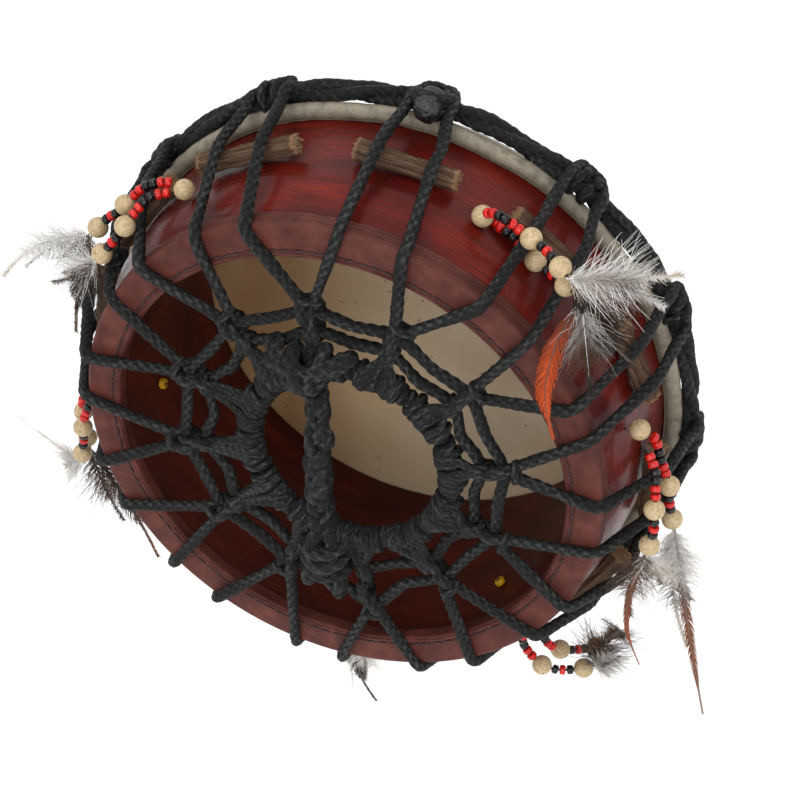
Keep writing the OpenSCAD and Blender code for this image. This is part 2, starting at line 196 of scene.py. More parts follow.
def wander(n, rng, size, smooth, closed=False):
    """A slow random drift of n values, about size high."""
    v = rng.standard_normal(n + 8 * smooth)
    kernel = np.hanning(2 * smooth + 3)
    v = np.convolve(v, kernel / math.sqrt((kernel ** 2).sum()), "same")[4 * smooth:4 * smooth + n]
    if closed:
        fade = np.minimum(1, np.minimum(np.arange(n), np.arange(n)[::-1]) / (smooth + 1))
        v = v * fade
    return v * size


def moving_frame(line, closed=False):
    """Directions along a line, and two normals carried along it without twist."""
    if closed:
        t = np.roll(line, -1, 0) - np.roll(line, 1, 0)
    else:
        t = np.gradient(line, axis=0)
    t /= np.linalg.norm(t, axis=1)[:, None]
    v = np.zeros_like(t)
    last = np.array([0.0, 1, 0])
    if abs(last @ t[0]) > 0.95:
        last = np.array([1.0, 0, 0])
    for i, d in enumerate(t):
        last = last - d * (last @ d)
        last /= np.linalg.norm(last)
        v[i] = last
    w = np.cross(t, v)
    if closed:
        end = v[-1] - t[0] * (v[-1] @ t[0])
        miss = math.atan2(np.cross(end, v[0]) @ t[0], end @ v[0])
        turn = np.linspace(0, miss, len(line), endpoint=False)[:, None]
        v, w = np.cos(turn) * v + np.sin(turn) * w, np.cos(turn) * w - np.sin(turn) * v
    return t, v, w


# --- meshes ------------------------------------------------------------------------------------------


class Mesh:
    """Points, faces and per-point values that are gathered before they become one piece."""

    def __init__(self):
        self.points, self.faces, self.lay, self.tint, self.count = [], [], [], [], 0

    def add(self, points, faces, lay=None, tint=None):
        points = np.asarray(points, float)
        n = len(points)
        self.points.append(points)
        self.faces += [[i + self.count for i in f] for f in faces]
        self.lay.append(points if lay is None else np.asarray(lay, float))
        tint = 0 if tint is None else tint
        self.tint.append(np.broadcast_to(np.asarray(tint, float), (n, 3)))
        self.count += n

    def piece(self, name, material, body="drum", replaces=(), *, slot):
        mesh = bpy.data.meshes.new(name)
        mesh.from_pydata(np.vstack(self.points) * MM, [], self.faces)
        for title, values in (("lay", self.lay), ("tint", self.tint)):
            layer = mesh.attributes.new(title, "FLOAT_VECTOR", "POINT")
            layer.data.foreach_set("vector", np.vstack(values).astype(np.float32).ravel())
        mesh.materials.append(material)
        mesh.polygons.foreach_set("use_smooth", [True] * len(mesh.polygons))
        mesh.validate()
        obj = bpy.data.objects.new(name, mesh)
        bpy.context.scene.collection.objects.link(obj)
        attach(obj, body)
        if replaces:
            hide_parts(*replaces)
        return obj

    def rope_piece(self, name, *replaces):
        self.piece(name, ROPE_PAINT, "drum", replaces, slot="black_rope")


def grid_faces(rows, cols, wrap_rows=False):
    faces = []
    for i in range(rows if wrap_rows else rows - 1):
        a, b = i * cols, ((i + 1) % rows) * cols
        for j in range(cols):
            k = (j + 1) % cols
            faces.append((a + j, a + k, b + k, b + j))
    return faces


def sweep(mesh, line, radius, sides=12, closed=False, start=0.0, tint=None):
    """A tube along the line. radius is a number, one number a point, or a grid of points by sides.

    Without a tint of its own, a point's tint says how far it stands proud: 0 in a groove, 1 on a crest.
    """
    n = len(line)
    radius = np.asarray(radius, float)
    if radius.ndim < 2:
        radius = np.broadcast_to(radius.reshape(-1, 1) if radius.ndim else radius, (n, sides))
    _, v, w = moving_frame(line, closed)
    a = angles(sides)
    ring = np.cos(a)[None, :, None] * v[:, None] + np.sin(a)[None, :, None] * w[:, None]
    points = (line[:, None] + radius[..., None] * ring).reshape(-1, 3)
    if tint is None:
        relief = np.clip((radius / radius.mean(1)[:, None] - 0.82) / 0.34, 0, 1)
        tint = np.repeat(relief.reshape(-1, 1), 3, 1)
    s = lengths(line) + start
    lay = np.stack([radius * np.cos(a), radius * np.sin(a), np.repeat(s[:, None], sides, 1)], -1)
    faces = grid_faces(n, sides, closed)
    if not closed:
        faces.append(tuple(range(sides))[::-1])
        faces.append(tuple((n - 1) * sides + j for j in range(sides)))
    mesh.add(points, faces, lay.reshape(-1, 3), tint)


def braid_radius(line, radius, sides, rng, lay=7.0, carriers=4, depth=0.3, drift=0.05):
    """Radius of a braided rope at each point and side: crossing strands stand out as small lozenges."""
    s = lengths(line)[:, None]
    a = angles(sides)[None]
    one = np.abs(np.sin(carriers * a / 2 + math.pi * s / lay))
    two = np.abs(np.sin(carriers * a / 2 - math.pi * s / lay))
    bumps = np.maximum(one, two) ** 1.5 - 0.6
    swell = 1 + wander(len(line), rng, drift, 10)[:, None]
    flat = 1 + 0.05 * np.sin(2 * a + wander(len(line), rng, 1.2, 30)[:, None])
    fuzz = rng.standard_normal((len(line), sides)) * 0.028
    return radius * (swell * flat + depth * bumps + fuzz)


def dome(left, least):
    """Width of a rounded end, from 0 to 1, where left is the distance from its tip in radii."""
    left = np.clip(left, least, 1)
    return np.sqrt(left * (2 - left))


def rope(mesh, line, radius, rng, closed=False, sides=14, gap=1.1, **braid):
    """A braided rope along the line, rounded off at open ends."""
    line = even(line, gap, closed)
    r = braid_radius(line, radius, sides, rng, **braid)
    if not closed:
        s = lengths(line)
        r = r * dome(np.minimum(s, s[-1] - s) / radius, 0.02)[:, None]
    sweep(mesh, line, r, sides, closed)


def lathe(r, y, a, tint, flat_r=None, closed=True):
    """A surface round the drum's axis, from its radius r and distance y along the axis at the angles a.

    r and y have a row for each profile point and a column for each angle. With flat_r, the paint's pattern
    follows the surface as if it were laid out flat at that radius.
    """
    y = y + 0 * r
    points = np.stack([r * np.sin(a), y, r * np.cos(a)], -1).reshape(-1, 3)
    lay = np.stack([a * flat_r + 0 * r, y, r], -1).reshape(-1, 3) if flat_r else None
    mesh = Mesh()
    mesh.add(points, grid_faces(*r.shape, closed), lay, np.repeat((tint + 0 * r).reshape(-1, 1), 3, 1))
    return mesh


def dense(profile, gap):
    """A closed profile of [radius, y] with points about gap apart."""
    p = [np.array([r, y, 0.0]) for r, y in profile]
    return even(p, gap, True)[:, :2]


def waves(a, rng, orders, size):
    """A gentle random wave round the drum."""
    out = np.zeros_like(a)
    for m in orders:
        out += rng.normal() * np.cos(m * a + rng.uniform(0, ROUND))
    return out * size / math.sqrt(len(orders))


# --- materials ---------------------------------------------------------------------------------------


def linear(r, g, b):
    def one(c):
        c /= 255
        return c / 12.92 if c <= 0.04045 else ((c + 0.055) / 1.055) ** 2.4
    return (one(r), one(g), one(b), 1)


class Paint:
    """A small helper that builds one node material."""

    def __init__(self, name, roughness=0.5, **sockets):
        self.material = bpy.data.materials.new(name)
        self.material.use_nodes = True
        self.tree = self.material.node_tree
        self.shader = self.tree.nodes["Principled BSDF"]
        self.shader.inputs["Roughness"].default_value = roughness
        for key, value in sockets.items():
            self.shader.inputs[key.replace("_", " ")].default_value = value

    def node(self, kind, **settings):
        n = self.tree.nodes.new(kind)
        for key, value in settings.items():
            setattr(n, key, value)
        return n

    def link(self, a, b):
        self.tree.links.new(a, b)

    def coords(self, source="object", scale=(1, 1, 1)):
        """Coordinates in millimetres: of the object, or of the straightened rope or surface."""
        if source == "object":
            out = self.node("ShaderNodeTexCoord").outputs["Object"]
            scale = [s / MM for s in scale]
        else:
            out = self.node("ShaderNodeAttribute", attribute_name=source).outputs["Vector"]
        mapping = self.node("ShaderNodeMapping")
        mapping.inputs["Scale"].default_value = scale
        self.link(out, mapping.inputs["Vector"])
        return mapping.outputs["Vector"]

    def tint(self):
        return self.node("ShaderNodeAttribute", attribute_name="tint").outputs["Vector"]

    def noise(self, where, size, detail=3.0, rough=0.55, distortion=0.0):
        n = self.node("ShaderNodeTexNoise")
        n.inputs["Scale"].default_value = 1 / size
        n.inputs["Detail"].default_value = detail
        n.inputs["Roughness"].default_value = rough
        n.inputs["Distortion"].default_value = distortion
        self.link(where, n.inputs["Vector"])
        return n.outputs["Fac"]

    def ramp(self, value, *stops):
        n = self.node("ShaderNodeValToRGB")
        while len(n.color_ramp.elements) < len(stops):
            n.color_ramp.elements.new(0.5)
        for e, (at, colour) in zip(n.color_ramp.elements, stops):
            e.position = at
            e.color = colour
        self.link(value, n.inputs["Fac"])
        return n.outputs["Color"]

    def mix(self, fac, a, b):
        n = self.node("ShaderNodeMix", data_type="RGBA")
        for value, socket in ((fac, n.inputs[0]), (a, n.inputs[6]), (b, n.inputs[7])):
            if isinstance(value, bpy.types.NodeSocket):
                self.link(value, socket)
            else:
                socket.default_value = value
        return n.outputs[2]

    def colour(self, value):
        self.link(value, self.shader.inputs["Base Color"])

    def rough(self, value):
        self.link(value, self.shader.inputs["Roughness"])

    def bump(self, height, depth, strength=1.0):
        """height from 0 to 1 stands depth millimetres proud."""
        n = self.node("ShaderNodeBump")
        n.inputs["Strength"].default_value = strength
        n.inputs["Distance"].default_value = depth * MM
        self.link(height, n.inputs["Height"])
        last = self.shader.inputs["Normal"]
        if last.links:
            self.link(last.links[0].from_socket, n.inputs["Normal"])
        self.link(n.outputs["Normal"], last)


def grey(v):
    return (v, v, v, 1)


def rope_paint():
    p = Paint("black waxed rope", 0.6, Specular_IOR_Level=0.2)
    fibres = p.noise(p.coords("lay", (1, 1, 0.25)), 0.5, 4, 0.75)
    cloudy = p.noise(p.coords("object"), 14, 3)
    body = p.ramp(fibres, (0.36, linear(3, 3, 3)), (0.52, linear(15, 16, 16)), (0.68, linear(62, 64, 62)))
    body = p.mix(p.ramp(cloudy, (0.42, grey(0)), (0.68, grey(0.35))), body, linear(38, 40, 39))
    relief = p.tint()
    # Painted shade: where the tint is low, in the grooves between the braid's strands, the rope goes near
    # black.
    body = p.mix(p.ramp(relief, (0.15, grey(0.85)), (0.60, grey(0))), body, linear(4, 4, 4))
    # Painted highlight: where the tint is high, on the braid's crests, the rope is lightened.
    body = p.mix(p.ramp(relief, (0.62, grey(0)), (0.95, grey(0.45))), body, linear(84, 87, 85))
    specks = p.ramp(p.noise(p.coords("object"), 0.8, 1), (0.72, grey(0)), (0.77, grey(0.5)))
    p.colour(p.mix(specks, body, linear(120, 122, 116)))
    p.rough(p.ramp(cloudy, (0.35, grey(0.5)), (0.65, grey(0.75))))
    p.bump(fibres, 0.9)
    return p.material


def melted_paint():
    p = Paint("melted rope end", 0.25)
    n = p.noise(p.coords("object"), 2.2, 4)
    p.colour(p.ramp(n, (0.35, linear(14, 15, 15)), (0.75, linear(40, 42, 42))))
    p.rough(p.ramp(n, (0.4, grey(0.1)), (0.66, grey(0.4))))
    p.bump(n, 1.2)
    return p.material


def shell_paint():
    p = Paint("red stained wood", 0.32, Coat_Weight=0.16, Coat_Roughness=0.12, Specular_IOR_Level=0.12)
    grain = p.noise(p.coords("lay", (0.05, 1, 1)), 1.5, 5, 0.65)
    broad = p.noise(p.coords("lay", (0.35, 1, 1)), 22, 3)
    crackle = p.noise(p.coords("lay", (0.5, 1, 1)), 0.9, 5, 0.75, 0.4)
    red = p.ramp(broad, (0.30, linear(64, 12, 8)), (0.50, linear(88, 18, 11)), (0.72, linear(114, 26, 15)))
    dark = p.ramp(grain, (0.34, grey(0.72)), (0.62, grey(0)))
    outer = p.mix(dark, red, linear(52, 13, 9))
    inner = p.ramp(broad, (0.30, linear(62, 20, 13)), (0.55, linear(82, 25, 16)),
                   (0.78, linear(104, 33, 20)))
    inner = p.mix(p.ramp(grain, (0.30, grey(0.7)), (0.52, grey(0))), inner, linear(38, 15, 11))
    inner = p.mix(p.ramp(grain, (0.66, grey(0)), (0.80, grey(0.35))), inner, linear(120, 62, 34))
    inside = p.tint()
    p.colour(p.mix(inside, outer, inner))
    rough = p.ramp(crackle, (0.40, grey(0.22)), (0.68, grey(0.46)))
    p.rough(p.mix(inside, rough, grey(0.62)))
    p.bump(crackle, 0.22, 0.7)
    p.bump(grain, 0.25, 0.6)
    return p.material


def leather_paint(name, low, mid, high):
    p = Paint(name, 0.55, Specular_IOR_Level=0.14)
    fine = p.noise(p.coords("object"), 0.7, 4, 0.7)
    patches = p.noise(p.coords("object"), 14, 4, 0.6)
    creases = p.noise(p.coords("lay", (0.25, 1, 1)), 2.4, 4, 0.7, 0.5)
    body = p.ramp(patches, (0.30, low), (0.52, mid), (0.75, high))
    body = p.mix(p.ramp(fine, (0.62, grey(0)), (0.78, grey(0.3))), body, linear(122, 82, 74))
    # Painted shade: where the tint is high the leather goes dark; on the rim leather that is in its grooves.
    p.colour(p.mix(p.tint(), body, linear(46, 22, 20)))
    p.rough(p.ramp(creases, (0.35, grey(0.42)), (0.66, grey(0.66))))
    p.bump(fine, 0.18, 0.6)
    p.bump(creases, 0.35, 0.5)
    return p.material


def hide_paint():
    p = Paint("rawhide", 0.5, Specular_IOR_Level=0.3)
    where = p.coords("object")
    clouds = p.noise(where, 45, 4, 0.55, 0.3)
    fine = p.noise(where, 1.2, 4, 0.6)
    # Painted shade: the tan runs from darker on the -X side of the head to lighter towards +X.
    split = p.node("ShaderNodeSeparateXYZ")
    p.link(where, split.inputs[0])
    across = p.node("ShaderNodeMath", operation="MULTIPLY_ADD")
    p.link(split.outputs["X"], across.inputs[0])
    across.inputs[1].default_value = 1 / 260
    across.inputs[2].default_value = 0.5
    tan = p.ramp(across.outputs[0], (0.16, linear(150, 114, 78)), (0.38, linear(196, 170, 136)),
                 (0.58, linear(204, 184, 156)))
    tan = p.mix(p.ramp(clouds, (0.40, grey(0)), (0.72, grey(0.5))), tan, linear(186, 152, 110))
    specks = p.ramp(p.noise(where, 5, 1), (0.735, grey(0)), (0.76, grey(0.7)))
    tan = p.mix(specks, tan, linear(120, 92, 62))
    pale = p.ramp(p.noise(where, 7, 4), (0.30, linear(96, 88, 75)), (0.58, linear(130, 122, 107)),
                  (0.78, linear(88, 78, 64)))
    p.colour(p.mix(p.tint(), tan, pale))
    p.bump(fine, 0.12, 0.6)
    return p.material


def stick_paint():
    p = Paint("weathered wood", 0.8, Specular_IOR_Level=0.15)
    fibres = p.noise(p.coords("lay", (1, 1, 0.07)), 1.1, 5, 0.7)
    tone = p.noise(p.coords("object"), 11, 3)
    wood = p.ramp(fibres, (0.28, linear(30, 20, 14)), (0.50, linear(78, 57, 43)),
                  (0.72, linear(128, 102, 80)))
    wood = p.mix(p.ramp(tone, (0.35, grey(0)), (0.7, grey(0.5))), wood, linear(74, 56, 44))
    p.colour(p.mix(p.tint(), wood, linear(148, 116, 86)))
    p.bump(fibres, 0.8)
    return p.material


def bead_wood_paint():
    p = Paint("pale bead wood", 0.5)
    grain = p.noise(p.coords("object", (1, 0.4, 1)), 1.4, 4, 0.6, 0.6)
    p.colour(p.ramp(grain, (0.30, linear(138, 117, 84)), (0.52, linear(174, 152, 116)),
                    (0.74, linear(194, 174, 138))))
    p.bump(grain, 0.1, 0.5)
    return p.material


def glass_paint(name, low, high):
    p = Paint(name, 0.16, Coat_Weight=0.15, Coat_Roughness=0.05, Specular_IOR_Level=0.3)
    n = p.noise(p.coords("object"), 4, 2)
    p.colour(p.ramp(n, (0.35, low), (0.65, high)))
    p.rough(p.ramp(n, (0.35, grey(0.12)), (0.7, grey(0.3))))
    p.bump(p.noise(p.coords("object"), 0.8, 2), 0.06, 0.4)
    return p.material


def thread_paint(name, low, high):
    p = Paint(name, 0.7)
    n = p.noise(p.coords("lay", (1, 1, 0.3)), 0.5, 3)
    p.colour(p.ramp(n, (0.35, low), (0.68, high)))
    p.bump(n, 0.15)
    return p.material


def feather_paint():
    p = Paint("feather", 0.6, Specular_IOR_Level=0.2)
    n = p.noise(p.coords("object"), 2.5, 3)
    p.colour(p.mix(p.ramp(n, (0.35, grey(0.0)), (0.75, grey(0.25))), p.tint(), linear(60, 48, 40)))
    return p.material


ROPE_PAINT = rope_paint()
MELTED = melted_paint()
SHELL_PAINT = shell_paint()
LEATHER_PAINT = leather_paint("rim leather", linear(64, 31, 26), linear(80, 41, 35), linear(98, 53, 45))
EDGE_PAINT = leather_paint("cut leather edge", linear(78, 40, 36), linear(104, 58, 52), linear(132, 82, 74))
HIDE_PAINT = hide_paint()
STICK_PAINT = stick_paint()
BEAD_WOOD = bead_wood_paint()
RED_GLASS = glass_paint("red glass", linear(166, 14, 10), linear(196, 26, 18))
BLACK_GLASS = glass_paint("black glass", linear(6, 6, 7), linear(14, 14, 16))
YELLOW_GLASS = glass_paint("amber glass", linear(178, 130, 14), linear(216, 168, 30))
STITCH = thread_paint("stitch thread", linear(26, 18, 17), linear(58, 40, 38))
STRING = thread_paint("charm string", linear(24, 20, 20), linear(70, 62, 58))
FEATHER = feather_paint()


# --- camera and the charms' strings ------------------------------------------------------------------


# Where the camera stands, in metres, and which way it looks. Its top edge is level.
CAMERA_AT = (0.4042, -0.9920, 0.9071)
CAMERA_WAY = (-0.26808, 0.73158, -0.62683)
SENSOR, LENS = 36.0, 108.0


def make_camera():
    data = bpy.data.cameras.new("camera")
    data.sensor_width = SENSOR
    data.lens = LENS
    camera = bpy.data.objects.new("camera", data)
    camera.location = CAMERA_AT
    camera.rotation_mode = "QUATERNION"
    camera.rotation_quaternion = Vector(CAMERA_WAY).to_track_quat("-Z", "Y")
    bpy.context.scene.collection.objects.link(camera)
    bpy.context.scene.camera = camera


# Each charm has two strings. Their points are measured from the top bead's centre, where they start.
ROUTES = [
    [[[0, 0, 0], [-10, 1, 2], [-18, 0, 0], [-26, -2, -4], [-34, -6, -13], [-40, -8, -20], [-47, -7, -26],
      [-58, -9, -39]],
     [[0, 0, 0], [-10, -4, -2], [-18, -8, -4], [-23, -13, -9], [-27, -20, -15], [-31, -25, -22],
      [-37, -26, -30], [-48, -24, -45]]],
    [[[0, 0, 0], [5, -6, 7], [9, -8, 9], [16, -12, 10], [20, -11, 7], [29, -12, 2], [40, -18, 1],
      [50, -26, -1], [59, -33, -4]],
     [[0, 0, 0], [5, 6, -6], [9, 4, -8], [17, 1, -10], [24, -1, -15], [32, -4, -19], [39, -7, -22],
      [47, -12, -22], [55, -19, -21], [64, -22, -24]]],
    [[[0, 0, 0], [8, 3, -6], [12, 1, -14], [15, 0, -22], [20, -1, -34], [21, -1, -46], [23, 1, -60],
      [24, 3, -71]],
     [[0, 0, 0], [4, -4, -6], [9, -8, -11], [14, -13, -18], [16, -18, -25], [17, -20, -31],
      [17, -21, -39], [18, -22, -52], [16, -22, -65], [14, -22, -72]]],
    [[[0, 0, 0], [-6, -2, -8], [-8, 0, -15], [-7, 1, -22], [-2, 1, -29], [5, 0, -34], [14, 1, -36],
      [23, 4, -36], [30, 8, -36], [37, 12, -35]],
     [[0, 0, 0], [1, 7, -8], [1, 9, -13], [3, 10, -20], [6, 12, -27], [11, 17, -34], [18, 23, -38],
      [25, 30, -41], [33, 38, -43], [38, 45, -42]]],
    [[[0, 0, 0], [4, 1, -9], [6, 7, -18], [10, 16, -27], [18, 23, -36], [28, 30, -43], [38, 36, -50],
      [44, 39, -54]],
     [[0, 0, 0], [-3, 3, -8], [-6, 10, -16], [-6, 20, -23], [0, 30, -30], [10, 38, -37], [20, 45, -44],
      [30, 51, -51]]],
    [[[0, 0, 0], [-6, -7, -7], [-10, -11, -15], [-14, -12, -24], [-17, -12, -37], [-18, -10, -46],
      [-20, -9, -55], [-23, -7, -70]],
     [[0, 0, 0], [-10, -2, -6], [-16, -3, -12], [-20, -3, -21], [-22, 0, -33], [-23, 2, -42],
      [-24, 5, -55], [-23, 6, -70]]],
]
BEADS = ["red", "red", "black", "black", "red", "red", "wood", "black", "red", "black", "wood"]
STRING_R = 0.7


def make_strings():
    for k, routes in enumerate(ROUTES, 1):
        for side, route in zip("ab", routes):
            # The first point is inside the top bead, where the string doesn't show.
            line = spline(route[1:], 8) + pivot(k)
            mesh = Mesh()
            sweep(mesh, line, STRING_R, 8)
            name = f"charm_{k}_string_{side}"
            obj = mesh.piece(name, STRING, f"charm_{k}", [f"charm_{k}_string"], slot="charm_cord")


# --- beads -------------------------------------------------------------------------------------------


def turned(mesh, profile, centre, axis, count=24):
    """A small closed profile of [radius, height] turned about an axis through centre."""
    axis = np.asarray(axis, float) / np.linalg.norm(axis)
    side = np.cross(axis, [0, 0, 1] if abs(axis[2]) < 0.9 else [1, 0, 0])
    side /= np.linalg.norm(side)
    other = np.cross(axis, side)
    a = angles(count)
    p = np.asarray(profile, float)
    ring = np.cos(a)[:, None] * side + np.sin(a)[:, None] * other
    points = centre + p[:, None, 0, None] * ring[None] + p[:, None, 1, None] * axis
    mesh.add(points.reshape(-1, 3), grid_faces(len(p), count, wrap_rows=True))


def bead_profile(radius, half):
    """A rounded glass bead: a fat ring round its hole."""
    hole, power, steps = 1.0, 0.6, 14
    out = []
    for i in range(steps + 1):
        a = math.pi * (i / steps - 0.5)
        c, s = math.cos(a), math.sin(a)
        out.append([hole + (radius - hole) * abs(c) ** power, half * math.copysign(abs(s) ** power, s)])
    return out


def wood_profile():
    r, hole = WOOD_BEAD, 1.3
    top = math.sqrt(r * r - hole * hole)
    arc = [[r * math.cos(a), r * math.sin(a)] for a in np.linspace(-1.36, 1.36, 17)]
    return [[hole, -top + 0.5], [hole + 0.25, -top]] + arc + [[hole + 0.25, top], [hole, top - 0.5]]


def bead_length(kind):
    return 2 * WOOD_BEAD + 0.2 if kind == "wood" else GLASS_LEN + 0.7


def make_beads():
    rng = np.random.default_rng(3)
    for k, routes in enumerate(ROUTES, 1):
        kinds = {"wood": Mesh(), "red": Mesh(), "black": Mesh()}
        first = np.array(routes[0][1]) + np.array(routes[1][1])
        turned(kinds["wood"], wood_profile(), pivot(k), first, 32)
        for route, bare in zip(routes, BARE[k - 1]):
            line = spline(route, 6) + pivot(k)
            total = lengths(line)[-1]
            at = WOOD_BEAD + bare
            for kind in BEADS:
                middle = at + bead_length(kind) / 2
                at += bead_length(kind)
                if middle > total + 3:
                    continue
                centre = along(line, middle)
                way = along(line, min(middle, total)) - along(line, min(middle, total) - 2)
                if kind == "wood":
                    turned(kinds[kind], wood_profile(), centre, way, 32)
                else:
                    way = way / np.linalg.norm(way) + rng.normal(0, 0.09, 3)
                    r = GLASS_BEAD * rng.uniform(0.96, 1.05)
                    half = GLASS_LEN / 2 * rng.uniform(0.94, 1.04)
                    turned(kinds[kind], bead_profile(r, half), centre, way)
        body = f"charm_{k}"
        for kind, name, paint, slot in (("wood", "wooden_balls", BEAD_WOOD, "bead_wood"),
                                        ("red", "red_glass", RED_GLASS, "red_glass"),
                                        ("black", "black_glass", BLACK_GLASS, "black_glass")):
            kinds[kind].piece(f"{body}_{name}", paint, body, [f"{body}_{kind}_beads"], slot=slot)
    mesh = Mesh()
    stopper_r = SHELL_RI - GLASS_LEN / 2 - 0.6
    for at, y in CHARM_HOLES:
        turned(mesh, bead_profile(GLASS_BEAD + 0.4, GLASS_LEN / 2), clock(stopper_r, at, y), clock(1, at))
    mesh.piece("stopper_beads_glass", YELLOW_GLASS, "drum", ["stopper_beads"], slot="amber_glass")


# --- shell, leather and head -------------------------------------------------------------------------

OUTSIDE = ([[REAR_R, WOOD_REAR_Y]]
           + spline([[REAR_R + 0.5, 17, 0], [REAR_R + 5.5, 31, 0], [CONE_R, CONE_Y0, 0]], 6)[:, :2].tolist()
           + [[SEAT_R, CONE_Y1]]
           + spline([[SEAT_R - 0.4, 110, 0], [SEAT_R - 7, 126, 0], [BEARING_R + 7, 140, 0],
                     [BEARING_R, FRONT_Y, 0]], 6)[:, :2].tolist())
INSIDE = [[BEARING_R - 4, FRONT_Y - 1], [SHELL_RI, FRONT_Y - 16]]
# Dents in the outside of the shell: clock angle, distance along the axis, depth, half-width in degrees round
# the shell and half-length along it.
DENTS = [(-27, 27, 1.5, 3.2, 7), (-19, 29, 1.3, 2.6, 8), (-36, 30, 1.2, 3, 7), (6, 26, 0.8, 5, 5),
         (40, 30, 0.9, 4, 8), (66, 26, 1.0, 4, 7), (80, 34, 0.9, 4, 8), (150, 28, 1.2, 4, 8),
         (215, 28, 1.2, 4, 8), (260, 30, 1.1, 4, 8), (300, 28, 1.0, 4, 7)]


def make_shell():
    rng = np.random.default_rng(11)
    profile = dense(OUTSIDE + INSIDE + [[SHELL_RI, WOOD_REAR_Y]], 2.2)
    a = angles(420)
    r, y = profile[:, None, 0] + 0 * a, profile[:, None, 1]
    # Ripples and dents show only between the leather and the head's fold, and fade out at both.
    outer = (profile[:, 0] > 150)[:, None] & (y < 106) & (y > 18)
    ripple = sum(rng.normal() * 0.16 * np.cos(m * a + y * rng.uniform(0.02, 0.07) + rng.uniform(0, ROUND))
                 for m in range(5, 30, 2))
    sink = np.zeros_like(r)
    for at, where, depth, wide, long in DENTS:
        off = (np.degrees(a) - at + 180) % 360 - 180
        sink -= depth * np.exp(-(off / wide) ** 2 - ((y - where) / long) ** 2)
        sink += 0.4 * depth * np.exp(-((off - 1.7 * wide) / wide) ** 2 - ((y - where) / long) ** 2)
    fade = np.clip((y - 17) / 8, 0, 1) * np.clip((104 - y) / 10, 0, 1)
    r = r + np.where(outer, (ripple * 0.5 + sink) * fade, 0)
    # The tint tells the paint which side it is on: 0 outside, 1 inside.
    inside = np.clip((152 - profile[:, :1]) / 3, 0, 1)
    mesh = lathe(r, y, a, inside, flat_r=160)
    mesh.piece("shell_wood", SHELL_PAINT, "drum", ["shell"], slot="stained_wood")


def make_leather():
    rng = np.random.default_rng(5)
    outer = REAR_R + LEATHER
    bend = 3.0
    skin = [[SHELL_RI + 0.2, RIM_Y + 9], [SHELL_RI - LEATHER, RIM_Y + 9], [SHELL_RI - LEATHER, RIM_Y + 1.6],
            [SHELL_RI - LEATHER + 0.5, RIM_Y + 0.5], [SHELL_RI - LEATHER + 1.6, RIM_Y]]
    skin += [[outer - bend + bend * math.sin(t), RIM_Y + bend - bend * math.cos(t)]
             for t in map(math.radians, range(0, 91, 15))]
    skin += [[outer + 0.4, RIM_Y + SKIRT], [REAR_R + 0.6, RIM_Y + SKIRT], [REAR_R, WOOD_REAR_Y],
             [SHELL_RI, WOOD_REAR_Y]]
    profile = dense(skin, 0.55)
    a = angles(540)
    r, y = profile[:, None, 0] + 0 * a, profile[:, None, 1] + 0 * a
    face = (profile[:, 1] < RIM_Y + 0.4)[:, None]
    skirt = ((profile[:, 0] > outer - 0.5) & (profile[:, 1] > RIM_Y + 4))[:, None]
    # Grooves pressed round the skirt, with a row of small pits between them.
    groove = np.zeros_like(r)
    for at in (RIM_Y + 6.2, RIM_Y + 8.0, RIM_Y + 10.6):
        groove -= 0.45 * np.exp(-((y - at) / 0.42) ** 2)
    pits = 0.22 * np.sign(np.sin(a * 300)) * np.exp(-((y - RIM_Y - 7.1) / 0.6) ** 2)
    r = r + np.where(skirt, groove + pits * 0.5 + waves(a, rng, range(8, 40, 3), 0.15), 0)
    # On the face, a groove along the stitches, gentle waves outside it and a faint pressed line.
    gentle = waves(a, rng, range(6, 50, 3), 0.10) * np.exp(-((r - 150) / 7) ** 2)
    y = y + np.where(face, 0.35 * np.exp(-((r - SEAM_R) / 0.8) ** 2) + gentle, 0)
    y = y + np.where(face, 0.16 * np.exp(-((r - (SHELL_RI + 6.0)) / 0.5) ** 2), 0)
    # The tint is painted shade: dark along the stitch groove on the face, and in the skirt's grooves as deep
    # as they are.
    dark = np.where(face, np.exp(-((r - SEAM_R) / 0.7) ** 2) * 0.75, 0) + np.where(skirt, -groove * 1.3, 0)
    mesh = lathe(r, y, a, dark, flat_r=150)
    mesh.piece("rim_leather", LEATHER_PAINT, "drum", ["rear_binding"], slot="binding_leather")
    # The leather's cut edge, a thin wavy lip inside the shell.
    lip = Mesh()
    count = 720
    a = angles(count)
    edge = SHELL_RI + 0.6 + waves(a, rng, range(10, 60, 4), 0.28) + rng.standard_normal(count) * 0.05
    level = RIM_Y - 0.15 + waves(a, rng, range(9, 80, 5), 0.12)
    line = np.column_stack([edge * np.sin(a), level, edge * np.cos(a)])
    sweep(lip, line, 0.75 + wander(count, rng, 0.10, 3, True), 8, closed=True)
    lip.piece("rim_leather_edge", EDGE_PAINT, "drum", slot="binding_leather")


def make_stitches():
    rng = np.random.default_rng(6)
    mesh = Mesh()
    count = 120
    for i in range(count):
        a0 = (i + rng.normal(0, 0.07)) * 360 / count
        a1 = a0 + 360 / count * rng.uniform(0.55, 0.78)
        slant = rng.normal(0, 0.22)
        line = []
        for t in np.linspace(0, 1, 9):
            rise = -0.55 * math.sin(math.pi * t) ** 0.5
            r = SEAM_R + slant * (t - 0.5) * 2
            line.append(clock(r, a0 + (a1 - a0) * t, RIM_Y + 0.25 + rise))
        sweep(mesh, np.array(line), 0.55, 8, start=i * 9.0)
    mesh.piece("rim_stitches", STITCH, "drum", ["binding_stitching"], slot="waxed_thread")


def hoop_arc(radius, start, end, count):
    """Points round the flesh hoop's section."""
    return [[HOOP_R + radius * math.cos(t), HOOP_Y - radius * math.sin(t)]
            for t in np.linspace(math.radians(start), math.radians(end), count)]


